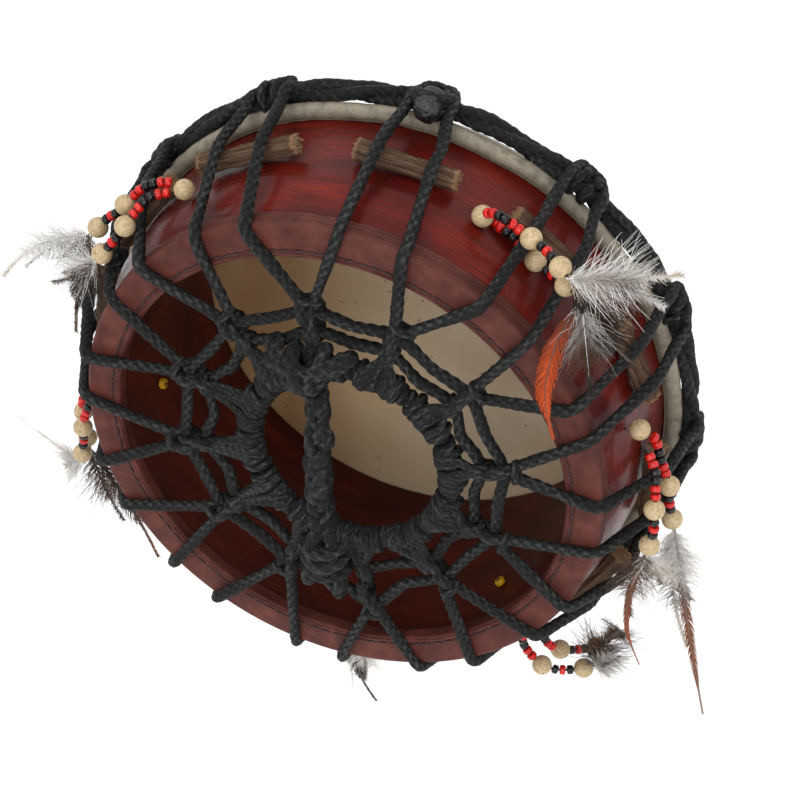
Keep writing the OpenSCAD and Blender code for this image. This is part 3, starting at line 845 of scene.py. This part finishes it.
def make_head():
    rng = np.random.default_rng(8)
    over = [p for p in OUTSIDE if p[1] > HOOP_Y]
    front = FRONT_Y + HIDE
    skin = [[0.5, FRONT_Y], [BEARING_R - 1, FRONT_Y]] + over[::-1]
    skin += [[SEAT_R + 0.1, HOOP_Y], [SEAT_R + 0.3, HOOP_Y - 4]]
    fold = hoop_arc(HOOP_TUBE + 0.2, 150, -20, 12)
    back = hoop_arc(HOOP_TUBE + HIDE, -20, 188, 20)
    lifted = [[p[0] + HIDE * 0.9, p[1] + HIDE * 0.45] for p in over[1:-1]]
    profile = dense(skin + fold + back + lifted + [[BEARING_R + 2, front], [0.5, front]], 2.0)
    count = 400
    a = angles(count)
    r, y = profile[:, None, 0] + 0 * a, profile[:, None, 1] + 0 * a
    # The fold over the hoop rises and dips between the strands that pull on it.
    near = np.exp(-((r - HOOP_R) / 6) ** 2 - ((y - HOOP_Y) / 7) ** 2)
    pull = np.cos(np.radians((np.degrees(a) - FIRST_PAIR)) * PAIRS)
    sag = waves(a, rng, range(7, 40, 3), 0.7)
    y = y + near * (pull * 1.3 + sag) * 0.8
    r = r + near * (waves(a, rng, range(20, 90, 7), 0.22) + 0.3 * pull)
    drum = (profile[:, 1] > FRONT_Y - 1)[:, None] & (r < 140)
    y = y + np.where(drum, waves(a, rng, range(2, 9), 0.25) * np.clip(r / 140, 0, 1), 0)
    edge = np.clip((profile[:, :1] - 150) / 8, 0, 1)
    mesh = lathe(r, y, a, edge, closed=False)
    inner_cap = tuple(range(count))
    outer_cap = tuple((len(profile) - 1) * count + j for j in range(count))[::-1]
    mesh.faces += [inner_cap, outer_cap]
    mesh.piece("rawhide_head", HIDE_PAINT, "drum", ["drum_head", "flesh_hoop"], slot="rawhide")


# --- ropes -------------------------------------------------------------------------------------------


def strand(k, side):
    """Half of a pair, from the net's node to the hoop."""
    a, corner_at, hoop_at, stick_side = pair_at(k), corner(k, side), hoop_off(k, side), stick_off(k, side)
    toward = node_at(k) if side > 0 else node_at(k - 1)
    which = k if side > 0 else k - 1
    out = RING_R + RING_TUBE + ROPE
    return [
        net(node_r(which) + 8, toward - side * 2, -0.6),
        clock(REAR_R - 3, a + corner_at + side * 0.3, -0.2),
        clock(REAR_R + 1, a + corner_at, 0.6),
        clock(REAR_R + 3.6, a + corner_at, 2.8),
        clock(REAR_R + 5.4, a + corner_at, 7),
        clock(STICK_ROPE_R - 1.6, a + stick_side, STICK_Y - 7),
        clock(STICK_ROPE_R, a + stick_side, STICK_Y),
        clock(STICK_ROPE_R + 0.6, a + stick_side, STICK_Y + 8),
        clock(out - 3.4, a + hoop_at, HOOP_Y - 8),
        clock(out - 0.5, a + hoop_at, HOOP_Y + 2),
        clock(out - ROPE, a + hoop_at - side * 0.6, RING_Y + 4),
        clock(out - ROPE - 1, a + hoop_at - side * 1.4, RING_Y + 13),
    ]


def loop(k):
    """Round the outer net cord at node k."""
    a, r = node_at(k), node_r(k)
    size = 2 * ROPE + 0.1
    out = []
    for i in range(5):
        turn = math.radians(i * 45)
        out.append(net(r - size * math.sin(turn), a - 2.0 + i * 1.0, -size * math.cos(turn)))
    return out


def make_lacing():
    rng = np.random.default_rng(21)
    line = []
    for k in range(1, PAIRS + 1):
        line += strand(k, -1) + strand(k, 1)[::-1] + loop(k)
    line = rounded(np.array(line), 1.1, 10, True)
    mesh = Mesh()
    sweep(mesh, line, braid_radius(line, ROPE, 14, rng), 14, True)
    mesh.rope_piece("lacing_rope", "lacing")


def one_turn(centre, axis, wide, tall, start, rise, steps=28):
    """One turn of an ellipse round a centre, from the angle start, that rises along its level axis."""
    axis = np.asarray(axis, float) / np.linalg.norm(axis)
    side = np.cross(axis, [0, 1, 0])
    side /= np.linalg.norm(side)
    up = np.cross(axis, side)
    out = []
    for i in range(steps + 1):
        t = i / steps
        a = 2 * math.pi * t + start
        out.append(centre + wide * math.cos(a) * side + tall * math.sin(a) * up + axis * rise * (t - 0.5))
    return np.array(out)


def make_net():
    rng = np.random.default_rng(22)
    outer, second, ties = Mesh(), Mesh(), Mesh()
    line = []
    for k in range(1, PAIRS + 1):
        a, r = node_at(k), node_r(k)
        line += [net(r + 0.5, a - 3, 0.5), net(r + 0.5, a + 3, 0.5),
                 net(NET_R - 3, a + PITCH / 2, rng.normal(0, 1))]
    rope(outer, rounded(np.array(line), 1.1, 6, True), ROPE, rng, closed=True)
    outer.rope_piece("net_outer_cord", "outer_net_cord")
    line = []
    for k in range(1, PAIRS + 1):
        a = node_at(k)
        line += [net(SECOND_R, a - 4, 1), net(SECOND_R, a + 4, 1),
                 net(SECOND_R - SECOND_DIP + rng.normal(0, 1), a + PITCH / 2, rng.normal(1, 1))]
    rope(second, rounded(np.array(line), 1.1, 8, True), ROPE, rng, closed=True)
    second.rope_piece("net_second_cord", "second_net_cord")
    # At each node, a small turn outside the knot and a tall one that ties the two cords together.
    for k in range(1, PAIRS + 1):
        a = node_at(k)
        way = clock(1, a)
        centre = net(node_r(k) + 8.5, a + rng.normal(0, 0.3), -0.8)
        rope(ties, one_turn(centre, way, 5.8, 3.6, rng.uniform(0, 6), 2.5), 2.3, rng, gap=0.9, sides=12)
        middle = net((node_r(k) + SECOND_R) / 2 - 0.5, a, 0.4)
        tall = (node_r(k) - SECOND_R) / 2 + 3.0
        across = sideways(a)
        middle = middle + across * rng.normal(0, 1)
        rope(ties, one_turn(middle, across, tall, 4.4, rng.uniform(0, 6), 2.5), 2.9, rng, gap=0.9, sides=12)
    ties.rope_piece("net_node_ties")


def grip(a, r=GRIP_R, y=0.0):
    return clock(r, a, y) + [GRIP_X, 0, GRIP_Z]


def make_grip():
    rng = np.random.default_rng(23)
    core, wrap, webs = Mesh(), Mesh(), Mesh()
    sweep(core, np.array([grip(a) for a in range(0, 360, 3)]), WRAP_TUBE - 2.6, 10, True)
    core.rope_piece("grip_core", "grip_ring_core")
    inner, outer = GRIP_R - WRAP_TUBE, GRIP_R + WRAP_TUBE
    # The wrap: one rope wound round the core, with so many points to a turn.
    turns, per = 60, 18
    count = turns * per
    line = []
    drift = wander(count, rng, 0.8, 12, True)
    for i in range(count):
        a = 360 * i / count
        t = 2 * math.pi * i / per
        r = WRAP_TUBE - 2.2 + drift[i] * 0.6
        line.append(grip(a + drift[i] * 0.7, GRIP_R + r * math.cos(t), -r * math.sin(t)))
    line = np.array(line)
    sweep(wrap, line, braid_radius(line, 2.9, 12, rng, lay=6, drift=0.12), 12, True)
    wrap.rope_piece("grip_wrap", "grip_ring_wrap")
    for k in range(1, PAIRS + 1):
        a = node_at(k)
        # Webs from the net's node spread over the grip ring, and two plain turns close them off.
        node = net(SECOND_R, a, 0)
        out = node - [GRIP_X, 0, GRIP_Z]
        at = math.degrees(math.atan2(out[0], out[2]))
        for off in (-6.4, -3.6, -0.6, 2.4, 5.4, 7.0):
            off += rng.normal(0, 0.8)
            knot = node - sideways(a) * (off / 8.5) * 3.0
            path = [grip(at + off, inner - 1.2, 2.0), grip(at + off, inner + 1, -4.4),
                    grip(at + off, GRIP_R, -WRAP_TUBE - 2.0), grip(at + off * 0.9, outer + 1, -4.4),
                    knot - clock(5.4, a) + [0, -2.6, 0], knot + [0, -ROPE - 2.2, 0], knot + clock(5.0, a),
                    knot + [0, ROPE + 2.0, 0]]
            path = np.array(path) + rng.normal(0, 0.55, (len(path), 3))
            rope(webs, spline(path, 8), 2.4 * rng.uniform(0.8, 1.15), rng, sides=12, lay=5, drift=0.12)
        for side in (-1, 1):
            path = [grip(at + side * 10.5, inner - 1.0, 3.0), grip(at + side * 10.5, inner + 1, -4),
                    grip(at + side * 10.2, GRIP_R, -WRAP_TUBE - 1.6), grip(at + side * 9.6, outer + 0.6, -3),
                    grip(at + side * 9, outer + 1, 4)]
            rope(webs, spline(path, 6), 2.6, rng, sides=12, lay=8)
    webs.rope_piece("grip_webs", "grip_hitches")


def tie_knot(mesh, paths, centre, radius, thinnest, rng):
    """Crossing ropes along paths that are measured from the knot's centre."""
    for path in paths:
        line = rounded(spline(path, 8) + centre, 1.1, 4)
        r = radius * rng.uniform(thinnest, 1.12)
        rope(mesh, line, r, rng, sides=16, lay=7, depth=0.26, drift=0.14)


def make_handle():
    rng = np.random.default_rng(24)
    mesh, top, low = Mesh(), Mesh(), Mesh()
    down = GRIP_LOW - GRIP_TOP
    steps = 220
    for strand_no in range(3):
        line = []
        for i in range(steps + 1):
            t = i / steps
            phase = 2 * math.pi * (t * 3.1 + 0.12 * math.sin(9 * t) + strand_no / 3)
            bow = [1.2 * math.sin(t * 7), -2.5 * math.sin(t * math.pi), 0]
            line.append(GRIP_TOP + down * t + bow + [4.0 * math.sin(phase), 3.2 * math.sin(2 * phase), 0])
        swell = 4.1 * (1 + 0.06 * math.sin(strand_no))
        rope(mesh, np.array(line), swell, rng, sides=18, lay=8, depth=0.2, drift=0.16)
    lump = spline([[-5, 3, 9], [-1, -2, 6], [2.5, -3, 0], [1, -2, -6], [-4, 3, -9]], 8)
    lump += GRIP_TOP + down * 0.34 + [6.5, -3, 0]
    rope(mesh, rounded(lump, 1.1, 3), 4.2, rng, sides=16, depth=0.24, drift=0.12)
    mesh.rope_piece("handle_plait", "handle_braid")
    paths = [
        [[3, 1, -12], [-3, -6, -6], [-11, -9, 2], [-19, -7, 8], [-25, -1, 11], [-27, 5, 8]],
        [[-4, 0, -12], [1, -7, -6], [7, -10, 2], [14, -9, 9], [22, -5, 13], [26, 3, 12]],
        [[-27, -3, 2], [-18, -9, 5], [-8, -12, 4], [3, -12, 4], [12, -10, 7], [23, -5, 9]],
        [[-15, 3, -6], [-12, -7, -7], [-3, -11, -9], [6, -8, -6], [9, 2, -4]],
        [[-9, 4, 12], [-10, -7, 9], [-6, -13, 2], [-3, -12, -7], [-2, -5, -14]],
        [[8, 4, 15], [9, -7, 12], [4, -14, 4], [2, -11, -6], [3, -4, -13]],
        [[-22, 4, 14], [-20, -6, 12], [-16, -10, 4], [-13, -7, -4], [-12, 2, -7]],
    ]
    tie_knot(top, paths, GRIP_TOP, 4.0, 0.9, rng)
    top.rope_piece("handle_knot_top", "handle_top_knot")
    paths = [
        [[-2, 0, 12], [-5, -8, 4], [-4, -12, -5], [3, -11, -13], [8, -5, -19], [10, 0, -30]],
        [[3, 0, 12], [6, -8, 5], [7, -12, -4], [0, -13, -12], [-6, -8, -18], [-5, -3, -26]],
        [[-12, 2, 2], [-10, -8, 1], [-1, -13, 1], [8, -11, 3], [13, -2, 4]],
        [[-11, 3, -6], [-9, -8, -9], [1, -14, -8], [10, -9, -6], [13, 1, -4]],
        [[-10, 3, -15], [-7, -8, -17], [3, -12, -17], [12, -6, -16], [13, 2, -14]],
        [[-5, -6, -15], [-8, -9, -20], [-9, -8, -27], [-8, -5, -30]],
        [[5, -5, -14], [10, -9, -18], [12, -9, -25], [11, -6, -28]],
        [[0, -3, -18], [2, -6, -25], [6, -3, -33], [9, 0, -42]],
    ]
    tie_knot(low, paths, GRIP_LOW, 4.2, 0.92, rng)
    low.rope_piece("handle_knot_bottom", "handle_bottom_knot")


def make_rope_ring():
    rng = np.random.default_rng(25)
    mesh = Mesh()
    # Three strands twisted round each other, eight turns round the drum.
    count = 1080
    for strand_no in range(3):
        out = []
        wave = wander(count, rng, 0.5, 20, True)
        for i in range(count):
            a = 360 * i / count
            t = math.radians(a) * 8 + strand_no * 2 * math.pi / 3
            pull = math.cos(math.radians(a - FIRST_PAIR) * PAIRS)
            r = RING_R + 0.4 + 2.6 * math.cos(t) + wave[i] + 0.5 * pull
            out.append(clock(r, a, RING_Y + 1.6 + 4.6 * math.sin(t) + wave[i]))
        rope(mesh, np.array(out), 3.5, rng, closed=True, gap=1.2, depth=0.2, drift=0.08)
    for k in range(1, PAIRS + 1):
        # Two hitches round the ring where each pair of the lacing passes it.
        a = pair_at(k) + 0.4 * lean(k)
        across = sideways(a)
        centre = clock(RING_R + 0.5, a, RING_Y + 1.5)
        for off in (-1.5, 1.1):
            shift = clock(1, a) * rng.normal(0, 0.4) - across * (off * 3.4)
            rope(mesh, one_turn(centre + shift, across, 7.4, 8.8, rng.uniform(0, 6), 3.5), 2.8, rng)
    mesh.rope_piece("hoop_rope_ring", "rope_ring")


def make_ring_knot():
    rng = np.random.default_rng(26)
    base = clock(RING_R + 7, pair_at(2) + 1, RING_Y - 9)
    mesh = Mesh()
    for path in ([[-11, 9, 1], [-8, 1, 4], [0, -3, 6], [8, 1, 3], [11, 9, 0]],
                 [[-9, 8, -4], [-6, 0, -5], [1, -4, -5], [7, 0, -4], [10, 8, -3]],
                 [[-10, 6, 4], [-4, -4, 3], [2, -7, -1], [7, -2, -4], [10, 5, -4]]):
        rope(mesh, rounded(spline(path, 8) + base, 1.1, 3), 3.6, rng, lay=11)
    mesh.rope_piece("ring_knot_wraps", "ring_knot")
    stub = Mesh()
    line = spline([[0, 6, 0], [0, -2, 1], [1, -9, 1], [0.5, -15, 0]], 8) + base
    s = lengths(line)
    sides = 16
    r = 7.8 * dome((s[-1] - s) / 7.0, 0.03) * (1 + 0.07 * np.sin(s * 0.8))
    sweep(stub, line, r[:, None] * (1 + 0.04 * rng.standard_normal((len(s), sides))), sides)
    stub.piece("ring_knot_melted_end", MELTED, "drum", slot="black_rope")


# --- tuning sticks -----------------------------------------------------------------------------------


def make_sticks():
    for k in range(1, PAIRS + 1):
        rng = np.random.default_rng(40 + k)
        half = (STICK_LEN - STICK_SPREAD * math.sin(math.radians(35 * (k - 2)))) / 2
        a = stick_at(k)
        across = np.cross([0, 1, 0], clock(1, a))
        centre = clock(STICK_AXIS_R, a, STICK_Y)
        n, sides, splinters = 64, 36, 70
        t = np.linspace(-1, 1, n)
        line = centre + across * (t * half)[:, None]
        theta = angles(sides)
        base = STICK_TUBE * (0.97 + wander(n, rng, 0.05, 9))
        ridges = sum(rng.normal() * np.cos(m * theta + rng.uniform(0, ROUND)) for m in range(3, 15)) * 0.036
        waist = 1 - 0.14 * np.cos(t * math.pi / 2) ** 1.4
        r = base[:, None] * waist[:, None] * (1 + ridges[None] + rng.standard_normal((n, sides)) * 0.02)
        # The middle stays within the part's own stick, so that the ropes clear it.
        middle = (np.abs(t) < 0.72)[:, None]
        r = np.where(middle, np.minimum(r, STICK_TUBE), np.minimum(r, STICK_TUBE * 1.2))
        mesh = Mesh()
        ends = np.clip((np.abs(t) - 0.93) / 0.07, 0, 1)
        sweep(mesh, line, r, sides, tint=np.repeat(np.repeat(ends * 0.6, sides)[:, None], 3, 1))
        # Splinters stand out of both broken ends.
        for end in (-1, 1):
            for _ in range(splinters):
                rho = STICK_TUBE * 0.86 * math.sqrt(rng.uniform(0.02, 1))
                phi = rng.uniform(0, ROUND)
                off = math.cos(phi) * np.array([0, 1, 0]) + math.sin(phi) * clock(1, a)
                start = centre + across * end * (half - 2.5) + rho * off
                long = rng.uniform(2.4, 4.2)
                tip = start + across * end * long + rng.normal(0, 0.25, 3)
                sweep(mesh, np.array([start, (start + tip) / 2, tip]), [0.62, 0.5, 0.25], 5,
                      tint=[0.35 + 0.5 * rng.uniform()] * 3)
        body = f"stick_{k:02d}"
        mesh.piece(f"{body}_branch", STICK_PAINT, body, [body], slot="driftwood")


# --- feathers ----------------------------------------------------------------------------------------

WHITE, CREAM, GREY = linear(226, 224, 220), linear(198, 186, 170), linear(112, 104, 98)
BROWN, DARK, SLATE = linear(84, 62, 48), linear(34, 30, 28), linear(58, 62, 64)
RUST, ORANGE = linear(118, 62, 28), linear(172, 66, 20)
# Each feather: charm, string (0 or 1), tip as measured from the charm's pivot, width, style, and its colours
# from base to tip.
FEATHERS = [
    (1, 0, [-126, -2, -92], 24, "fluff", [WHITE, WHITE, CREAM]),
    (1, 0, [-112, 2, -84], 20, "wisp", [BROWN, DARK, BROWN]),
    (1, 0, [-70, -18, -108], 15, "vane", [GREY, DARK, BROWN]),
    (1, 0, [-90, -6, -84], 24, "fluff", [BROWN, DARK, GREY]),
    (1, 1, [-80, -8, -74], 30, "fluff", [WHITE, WHITE, CREAM]),
    (1, 1, [-70, -16, -92], 24, "fluff", [BROWN, DARK, DARK]),
    (2, 0, [116, -4, -8], 32, "fluff", [WHITE, WHITE, CREAM]),
    (2, 0, [108, -8, -30], 26, "fluff", [CREAM, GREY, WHITE]),
    (2, 1, [67, -74, -82], 13, "blade", [DARK, ORANGE, ORANGE]),
    (2, 1, [76, -34, -54], 20, "blade", [BROWN, SLATE, SLATE]),
    (2, 0, [102, -12, -76], 20, "vane", [DARK, DARK, BROWN]),
    (2, 1, [92, -32, -46], 30, "fluff", [BROWN, DARK, BROWN]),
    (2, 1, [80, -50, -66], 26, "fluff", [WHITE, BROWN, DARK]),
    (3, 0, [55, -4, -209], 8, "blade", [GREY, RUST, RUST]),
    (3, 0, [40, -4, -117], 26, "fluff", [WHITE, WHITE, GREY]),
    (3, 0, [40, 0, -160], 22, "fluff", [CREAM, GREY, CREAM]),
    (3, 1, [6, -8, -138], 28, "fluff", [BROWN, BROWN, DARK]),
    (3, 1, [14, -10, -174], 5, "blade", [BROWN, RUST, ORANGE]),
    (3, 1, [22, -6, -108], 24, "fluff", [WHITE, CREAM, BROWN]),
    (4, 0, [48, 6, 6], 36, "fluff", [DARK, BROWN, BROWN]),
    (4, 0, [50, -6, -22], 20, "wisp", [GREY, WHITE, CREAM]),
    (4, 1, [42, -2, 20], 24, "fluff", [DARK, BROWN, GREY]),
    (4, 0, [60, 0, -10], 18, "fluff", [CREAM, WHITE, WHITE]),
    (5, 0, [55, 40, -119], 15, "vane", [GREY, DARK, DARK]),
    (5, 1, [36, 44, -118], 20, "wisp", [WHITE, GREY, WHITE]),
    (5, 0, [46, 40, -102], 24, "fluff", [CREAM, WHITE, GREY]),
    (6, 0, [-35, -8, -76], 24, "fluff", [WHITE, WHITE, CREAM]),
    (6, 0, [-72, 0, -50], 8, "wisp", [CREAM, WHITE, CREAM]),
    (6, 1, [23, 0, -145], 20, "vane", [DARK, DARK, RUST]),
    (6, 1, [2, -4, -116], 24, "fluff", [DARK, BROWN, DARK]),
]
# Each style: barbs a side, half-width and half-thickness of a barb, how far it leans to the tip, how loose
# it is.
STYLES = {"fluff": (270, 0.2, 0.08, 0.8, 0.5), "wisp": (110, 0.16, 0.08, 1.2, 0.45),
          "vane": (95, 0.4, 0.08, 1.35, 0.1), "blade": (95, 0.5, 0.08, 1.6, 0.04)}


def barb(mesh, line, wide, thin, flat_way, tint):
    """A thin pointed sliver along a short line, broad along flat_way."""
    n = len(line)
    t = np.gradient(line, axis=0)
    t /= np.linalg.norm(t, axis=1)[:, None]
    flat = flat_way - t * (t @ flat_way)[:, None]
    flat /= np.linalg.norm(flat, axis=1)[:, None] + 1e-9
    up = np.cross(t, flat)
    taper = np.linspace(1, 0.35, n)[:, None]
    points = np.stack([line + flat * wide * taper, line + up * thin * taper, line - flat * wide * taper,
                       line - up * thin * taper], 1).reshape(-1, 3)
    faces = grid_faces(n, 4)
    tip = len(points)
    points = np.vstack([points, line[-1] + t[-1] * wide])
    faces += [((n - 1) * 4 + j, (n - 1) * 4 + (j + 1) % 4, tip) for j in range(4)] + [(3, 2, 1, 0)]
    mesh.add(points, faces, None, tint)


def feather(mesh, rng, base, tip, width, style, colours):
    count, wide, thin, rake, loose = STYLES[style]
    base, tip = np.array(base, float), np.array(tip, float)
    way = tip - base
    long = np.linalg.norm(way)
    way /= long
    side = np.cross(way, [0, 1, 0])
    side /= np.linalg.norm(side)
    normal = np.cross(side, way)
    bend = rng.normal(0, 0.06) * long
    quill = spline([base, base + way * long * 0.35 + side * bend,
                    base + way * long * 0.7 + side * bend * 1.1, tip], 8)
    total = lengths(quill)[-1]
    shade = np.array([c[:3] for c in colours])
    soft = style in ("fluff", "wisp")
    shaft = quill[:len(quill) * 4 // 5] if soft else quill
    sweep(mesh, shaft, np.linspace(0.4 if soft else 0.55, 0.1, len(shaft)), 6, tint=shade[0] * 0.8 + 0.05)
    start = 0.03 if soft else 0.12
    for i in range(count):
        t = start + (0.985 - start) * i / (count - 1)
        root = along(quill, t * total)
        ahead = along(quill, min(t * total + 2, total)) - along(quill, max(t * total - 2, 0))
        ahead /= np.linalg.norm(ahead)
        shape = math.sin(math.pi * min(t * (1.25 if style != "blade" else 1.0) + 0.12, 0.97)) ** 0.8
        for which in (-1, 1):
            reach = width / 2 * shape * rng.uniform(1 - loose, 1 + 0.6 * loose) * (1 + 0.4 * rake)
            out = side * which + ahead * rake * rng.uniform(0.8, 1.25) + normal * rng.normal(0, loose)
            out /= np.linalg.norm(out)
            curl = rng.normal(0, loose, 3) * reach * 0.45
            points = np.array([root, root + out * reach * 0.36 + curl * 0.15,
                               root + out * reach * 0.7 + curl * 0.5,
                               root + out * reach + curl + ahead * reach * 0.15])
            where = t * 2
            low = int(min(where, 1))
            colour = shade[low] + (shade[low + 1] - shade[low]) * (where - low)
            colour = np.clip(colour * rng.uniform(0.8, 1.2), 0, 1)
            barb(mesh, points, wide, thin, ahead, colour)


def make_feathers():
    for k in range(1, 7):
        rng = np.random.default_rng(60 + k)
        mesh = Mesh()
        for charm, string, tip, width, style, colours in FEATHERS:
            if charm == k:
                base = np.array(ROUTES[k - 1][string][-1], float) + rng.normal(0, 0.8, 3)
                feather(mesh, rng, base + pivot(k), np.array(tip, float) + pivot(k), width, style, colours)
        mesh.piece(f"charm_{k}_plumes", FEATHER, f"charm_{k}", [f"charm_{k}_feathers"], slot="feather")


# --- light and floor ---------------------------------------------------------------------------------


def area_light(name, at, to, size, power):
    data = bpy.data.lights.new(name, "AREA")
    data.shape = "SQUARE"
    data.size = size
    data.energy = power
    light = bpy.data.objects.new(name, data)
    light.location = at
    light.rotation_mode = "QUATERNION"
    light.rotation_quaternion = (Vector(to) - Vector(at)).to_track_quat("-Z", "Y")
    bpy.context.scene.collection.objects.link(light)


def make_studio():
    scene = bpy.context.scene
    scene.view_settings.view_transform = "Standard"
    scene.view_settings.look = "None"
    world = bpy.data.worlds.new("studio")
    world.use_nodes = True
    background = world.node_tree.nodes["Background"]
    background.inputs["Color"].default_value = (1, 1, 1, 1)
    background.inputs["Strength"].default_value = 1.0
    scene.world = world
    area_light("key", (-0.7, -0.6, 1.9), (0, 0.05, 0), 0.9, 16)
    area_light("front", (0.5, -1.9, 0.9), (0, 0.1, 0), 1.0, 16)
    area_light("fill", (1.6, -0.6, 0.6), (0, 0.05, 0), 1.2, 6)
    mesh = bpy.data.meshes.new("floor")
    level, half = cad_low.z - 0.25, 40.0
    corners = [(x, y, level) for x, y in ((-half, -half), (half, -half), (half, half), (-half, half))]
    mesh.from_pydata(corners, [], [(0, 1, 2, 3)])
    p = Paint("pale floor", 0.9)
    n = p.noise(p.coords("object"), 300, 2)
    p.colour(p.ramp(n, (0.3, grey(0.94)), (0.7, grey(0.96))))
    mesh.materials.append(p.material)
    floor = bpy.data.objects.new("floor", mesh)
    scene.collection.objects.link(floor)


make_camera()
make_strings()
make_beads()
make_shell()
make_leather()
make_stitches()
make_head()
make_lacing()
make_net()
make_grip()
make_handle()
make_rope_ring()
make_ring_knot()
make_sticks()
make_feathers()
make_studio()
# The ties in the shell's holes stay as the part has them, with the string's looks.
bpy.data.objects["hole_ties"].data.materials[0] = STRING
